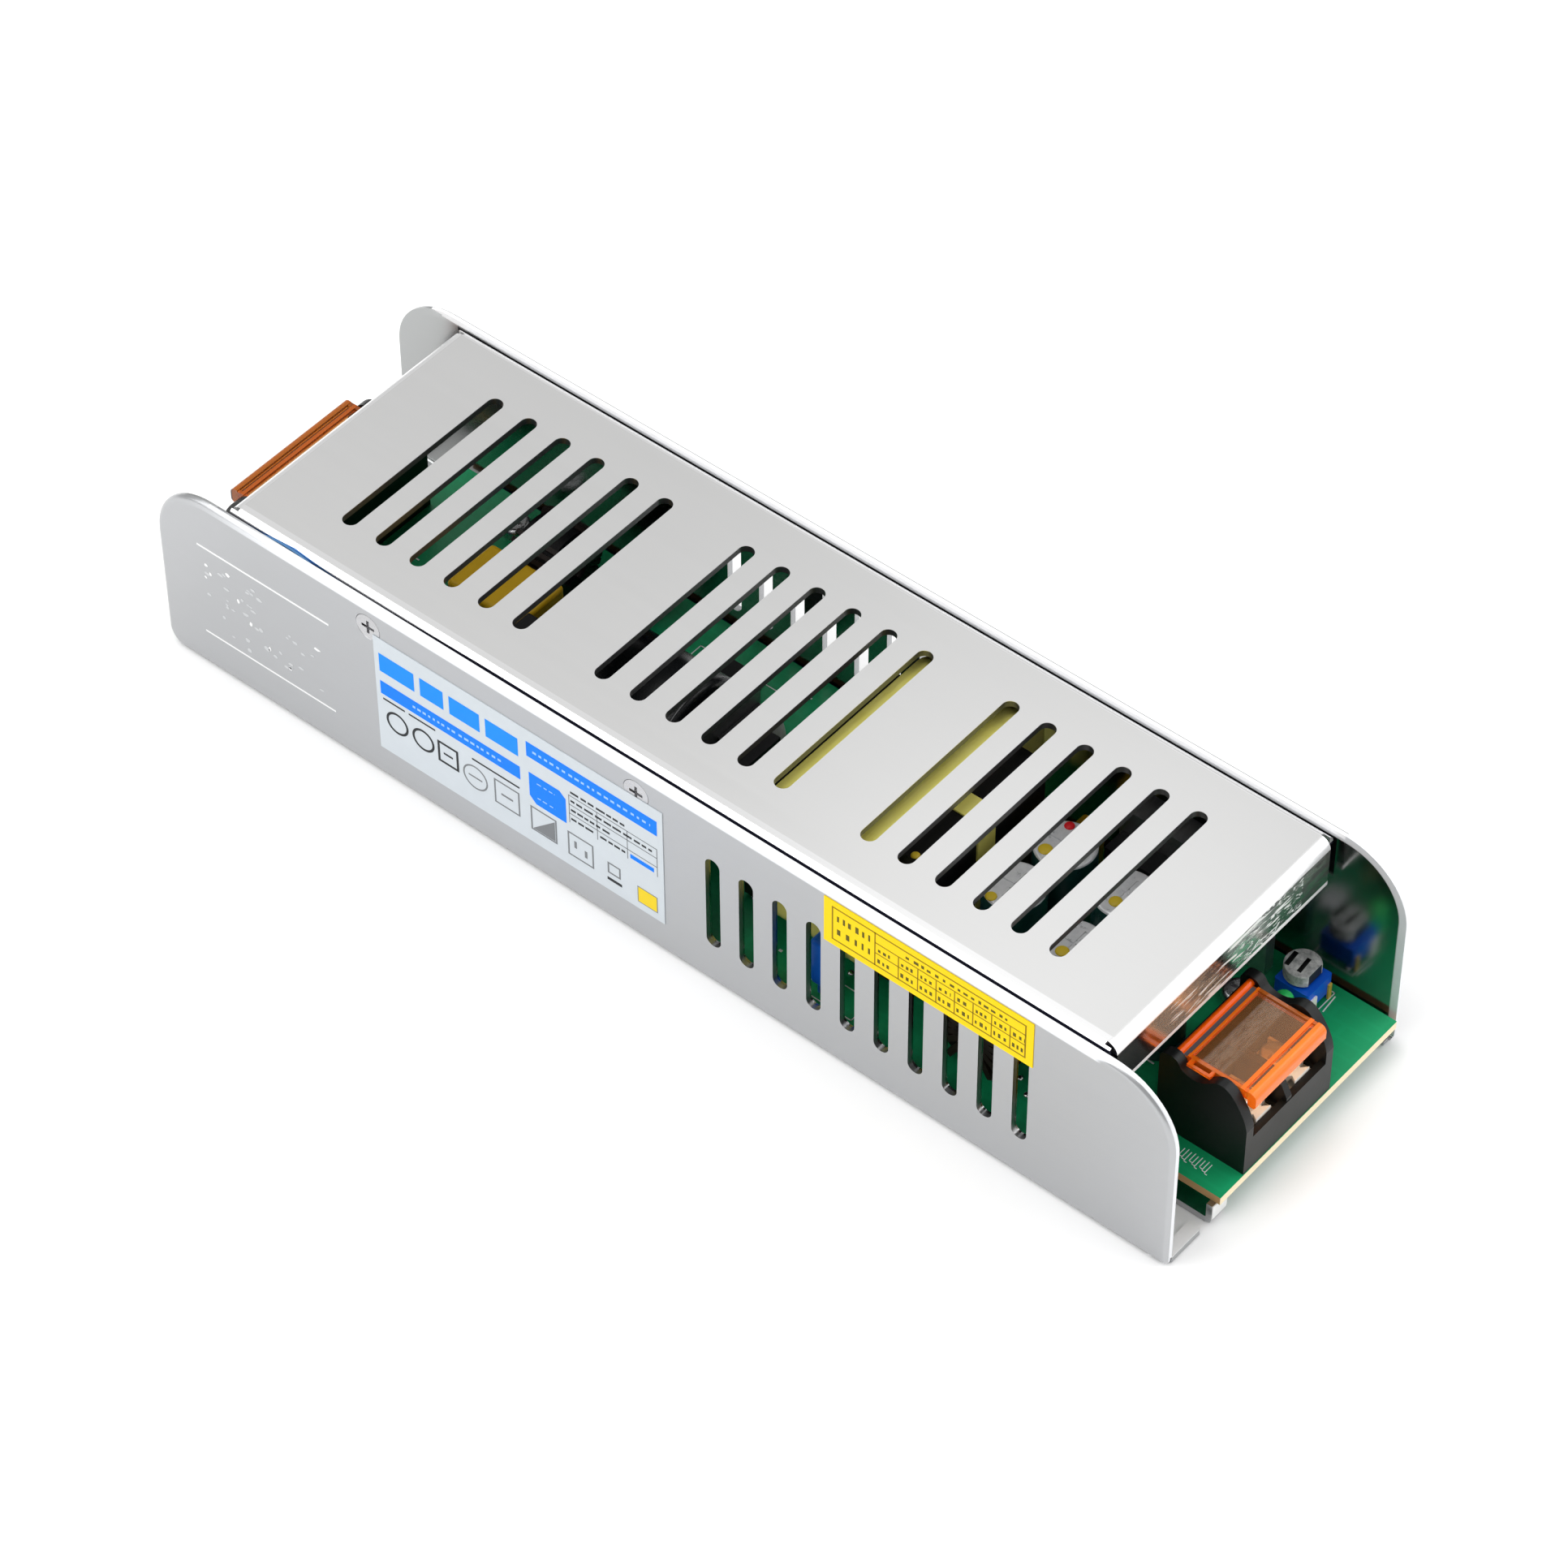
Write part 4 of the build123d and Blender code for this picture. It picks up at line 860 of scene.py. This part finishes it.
# etched plate area near the end of the same wall: two rules and rows of short marks
et = []
YW = -28.75 - 0.004
def E(x0, x1, z0, z1):
    et.append((0, wall_rect(x0, x1, z0, z1, YW), FACE))
E(-91.2, -63.2, 27.0, 27.4)
E(-91.2, -63.2, 7.75, 8.1)
def EP(mi, cx, cz, rx, rz, n=9):
    pts = []
    for i in range(n):
        a = 2 * math.pi * i / n
        k = rng.uniform(0.72, 1.15)
        pts.append((cx + rx * k * math.cos(a), YW, cz + rz * k * math.sin(a)))
    et.append((mi, pts, FACE))
for _ in range(26):
    EP(1, rng.uniform(-89.6, -76.0), rng.uniform(9.6, 24.6), rng.uniform(0.3, 0.8), rng.uniform(0.2, 0.45))
for _ in range(12):
    EP(1, rng.uniform(-76.0, -65.5), rng.uniform(9.6, 20.0), rng.uniform(0.3, 0.6), rng.uniform(0.15, 0.35))
for cx, cz, rx, rz in ((-89.6, 23.4, 0.42, 0.32), (-89.9, 20.6, 0.30, 0.28), (-88.8, 21.9, 0.3, 0.4), (-84.9, 24.2, 0.55, 0.40),
                       (-83.0, 19.6, 0.30, 0.5), (-80.6, 16.0, 0.35, 0.5), (-76.9, 12.9, 0.3, 0.55), (-72.6, 11.3, 0.3, 0.4), (-66.2, 19.8, 0.7, 0.3)):
    EP(0, cx, cz, rx, rz)
flat_shapes("wall_etching", et, [M["etch"], M["etch_soft"]])

# board silkscreen and tinned pads at the open ends
silk = []
ZB = 5.8 + 0.003
UP = (0, 0, 1)
def K(mi, x0, x1, y0, y1):
    silk.append((mi, [(x0, y0, ZB), (x1, y0, ZB), (x1, y1, ZB), (x0, y1, ZB)], UP))
def kbox(x0, x1, y0, y1, t=0.2, mi=0):
    K(mi, x0, x1, y0, y0 + t); K(mi, x0, x1, y1 - t, y1); K(mi, x0, x0 + t, y0, y1); K(mi, x1 - t, x1, y0, y1)
silk.append((0, [(90.98, 21.17, ZB), (91.2, 21.17, ZB), (90.87, 24.8, ZB), (90.65, 24.8, ZB)], UP))
kbox(82.9, 90.4, 18.9, 26.0 - 0.6)
kbox(-83.6, -70.0, -14.6, -4.6)
kbox(62.0, 70.5, 12.0, 18.0)
kbox(-30.0, -14.0, 10.6, 20.2)
kbox(28.0, 38.0, -25.2, -20.2)
for i in range(9):
    x = 91.0 + 0.62 * i
    K(0, x, x + 0.16, -14.5 - 0.25 * (i % 3), -12.9 + 0.2 * (i % 2))
    K(0, x, x + 0.62, -14.5 - 0.25 * (i % 3), -14.36 - 0.25 * (i % 3))
rr = random.Random(3)
for _ in range(70):
    x, y = rr.uniform(-82, 82), rr.uniform(-24.6, 24.6)
    K(0, x, x + rr.uniform(0.6, 2.0), y, y + rr.uniform(0.25, 0.5))
flat_shapes("board_silkscreen", silk, [M["silk"]])


def domes(name, spots, mat, body="base"):
    """Small solder domes: (x, y, z, radius, height) in mm."""
    bm = bmesh.new()
    for x, y, z, r, h in spots:
        ret = bmesh.ops.create_uvsphere(bm, u_segments=14, v_segments=8, radius=1.0)
        for v in ret["verts"]:
            v.co = Vector((x + v.co.x * r, y + v.co.y * r, z + max(v.co.z, -0.25) * h)) * MM
    me = bpy.data.meshes.new(name)
    bm.to_mesh(me); bm.free()
    for p in me.polygons:
        p.use_smooth = True
    me.materials.append(mat)
    ob = bpy.data.objects.new(name, me)
    sc.collection.objects.link(ob)
    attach(ob, body)
    return ob


spots = []
for i in range(10):
    x = 14.2 + 6.47 * i
    for k in range(3):
        spots.append((x + rr.uniform(-0.9, 1.6), -24.6 + rr.uniform(-0.4, 0.9), 5.85, rr.uniform(0.35, 0.7), rr.uniform(0.5, 1.0)))
for _ in range(60):
    spots.append((rr.uniform(-82, 82), rr.uniform(-24.4, 24.4), 5.82, rr.uniform(0.3, 0.6), rr.uniform(0.25, 0.5)))
for x, y in ((88.9, 20.6), (88.9, 24.4), (84.2, 22.6), (86.1, 16.1), (88.4, 16.1)):
    spots.append((x, y, 5.82, 0.6, 0.35))
domes("solder_joints", spots, M["solder"])
# dabs of paint and glue on the can tops and the core
domes("yellow_dabs", [(49.3, -6.6, 25.86, 0.95, 0.3), (49.7, 5.9, 25.86, 1.15, 0.3), (64.0, -8.4, 25.86, 1.1, 0.3), (64.1, 4.3, 25.86, 1.1, 0.3),
                      (39.4, -12.2, 32.61, 0.75, 0.3)], plastic("dab_yellow", (0.72, 0.52, 0.03), 0.35, 0.2, 900, 0.2, spec=0.3))
domes("red_dab", [(49.6, 11.9, 25.86, 0.85, 0.35)], plastic("dab_red", (0.75, 0.012, 0.02), 0.35, 0.1, 900, 0.1, spec=0.3))

# ------------------------------------------------------------------ stage
bm = bmesh.new()
bmesh.ops.create_grid(bm, x_segments=1, y_segments=1, size=3.0)
me = bpy.data.meshes.new("floor")
bm.to_mesh(me); bm.free()
floor = bpy.data.objects.new("floor", me)
sc.collection.objects.link(floor)
fm, fnt, fb = new_mat("floor_white")
fb.inputs["Base Color"].default_value = (0.93, 0.93, 0.93, 1)
fb.inputs["Roughness"].default_value = 0.9
fb.inputs["Specular IOR Level"].default_value = 0.1
me.materials.append(fm)
floor.location = (0, 0, -0.0001)

w = bpy.data.worlds.new("studio")
sc.world = w
w.use_nodes = True
bg = w.node_tree.nodes["Background"]
bg.inputs["Color"].default_value = (1, 1, 1, 1)
bg.inputs["Strength"].default_value = 0.62


def area(name, loc, target, size, power, sy=None):
    ld = bpy.data.lights.new(name, "AREA")
    ld.energy = power
    ld.shape = "RECTANGLE"
    ld.size = size
    ld.size_y = sy or size
    ob = bpy.data.objects.new(name, ld)
    sc.collection.objects.link(ob)
    ob.location = loc
    ob.rotation_euler = (Vector(target) - Vector(loc)).to_track_quat("-Z", "Y").to_euler()
    return ob


area("top_box", (-0.35, -0.25, 1.5), (0, 0, 0), 1.3, 11, 1.0)
area("near_box", (-0.60, -0.85, 0.95), (0, 0, 0), 1.3, 8)
area("end_box", (0.95, 0.80, 0.75), (0, 0, 0), 1.2, 7)
area("back_box", (0.5, 1.3, 1.5), (0, 0, 0), 0.9, 5)
area("corner_box", (-0.014, 0.104, 0.22), (0.096, -0.030, 0.037), 0.10, 0.0125)

# ------------------------------------------------------------------ camera
yaw, pitch, roll = math.radians(40.0), math.radians(47.15), -0.004959
d = Vector((-math.sin(yaw) * math.cos(pitch), math.cos(yaw) * math.cos(pitch), -math.sin(pitch)))
r0 = Vector((math.cos(yaw), math.sin(yaw), 0))
u0 = r0.cross(d)
r = r0 * math.cos(roll) + u0 * math.sin(roll)
u = -r0 * math.sin(roll) + u0 * math.cos(roll)
mw = Matrix((r, u, -d)).transposed().to_4x4()
mw.translation = Vector((0.38804, -0.45766, 0.65762))
cd = bpy.data.cameras.new("cam")
cd.sensor_width = 36.0
cd.lens = 131.75
cd.clip_start = 0.01
cd.clip_end = 20
cam = bpy.data.objects.new("cam", cd)
sc.collection.objects.link(cam)
cam.matrix_world = mw
sc.camera = cam
sc.view_settings.view_transform = "Standard"
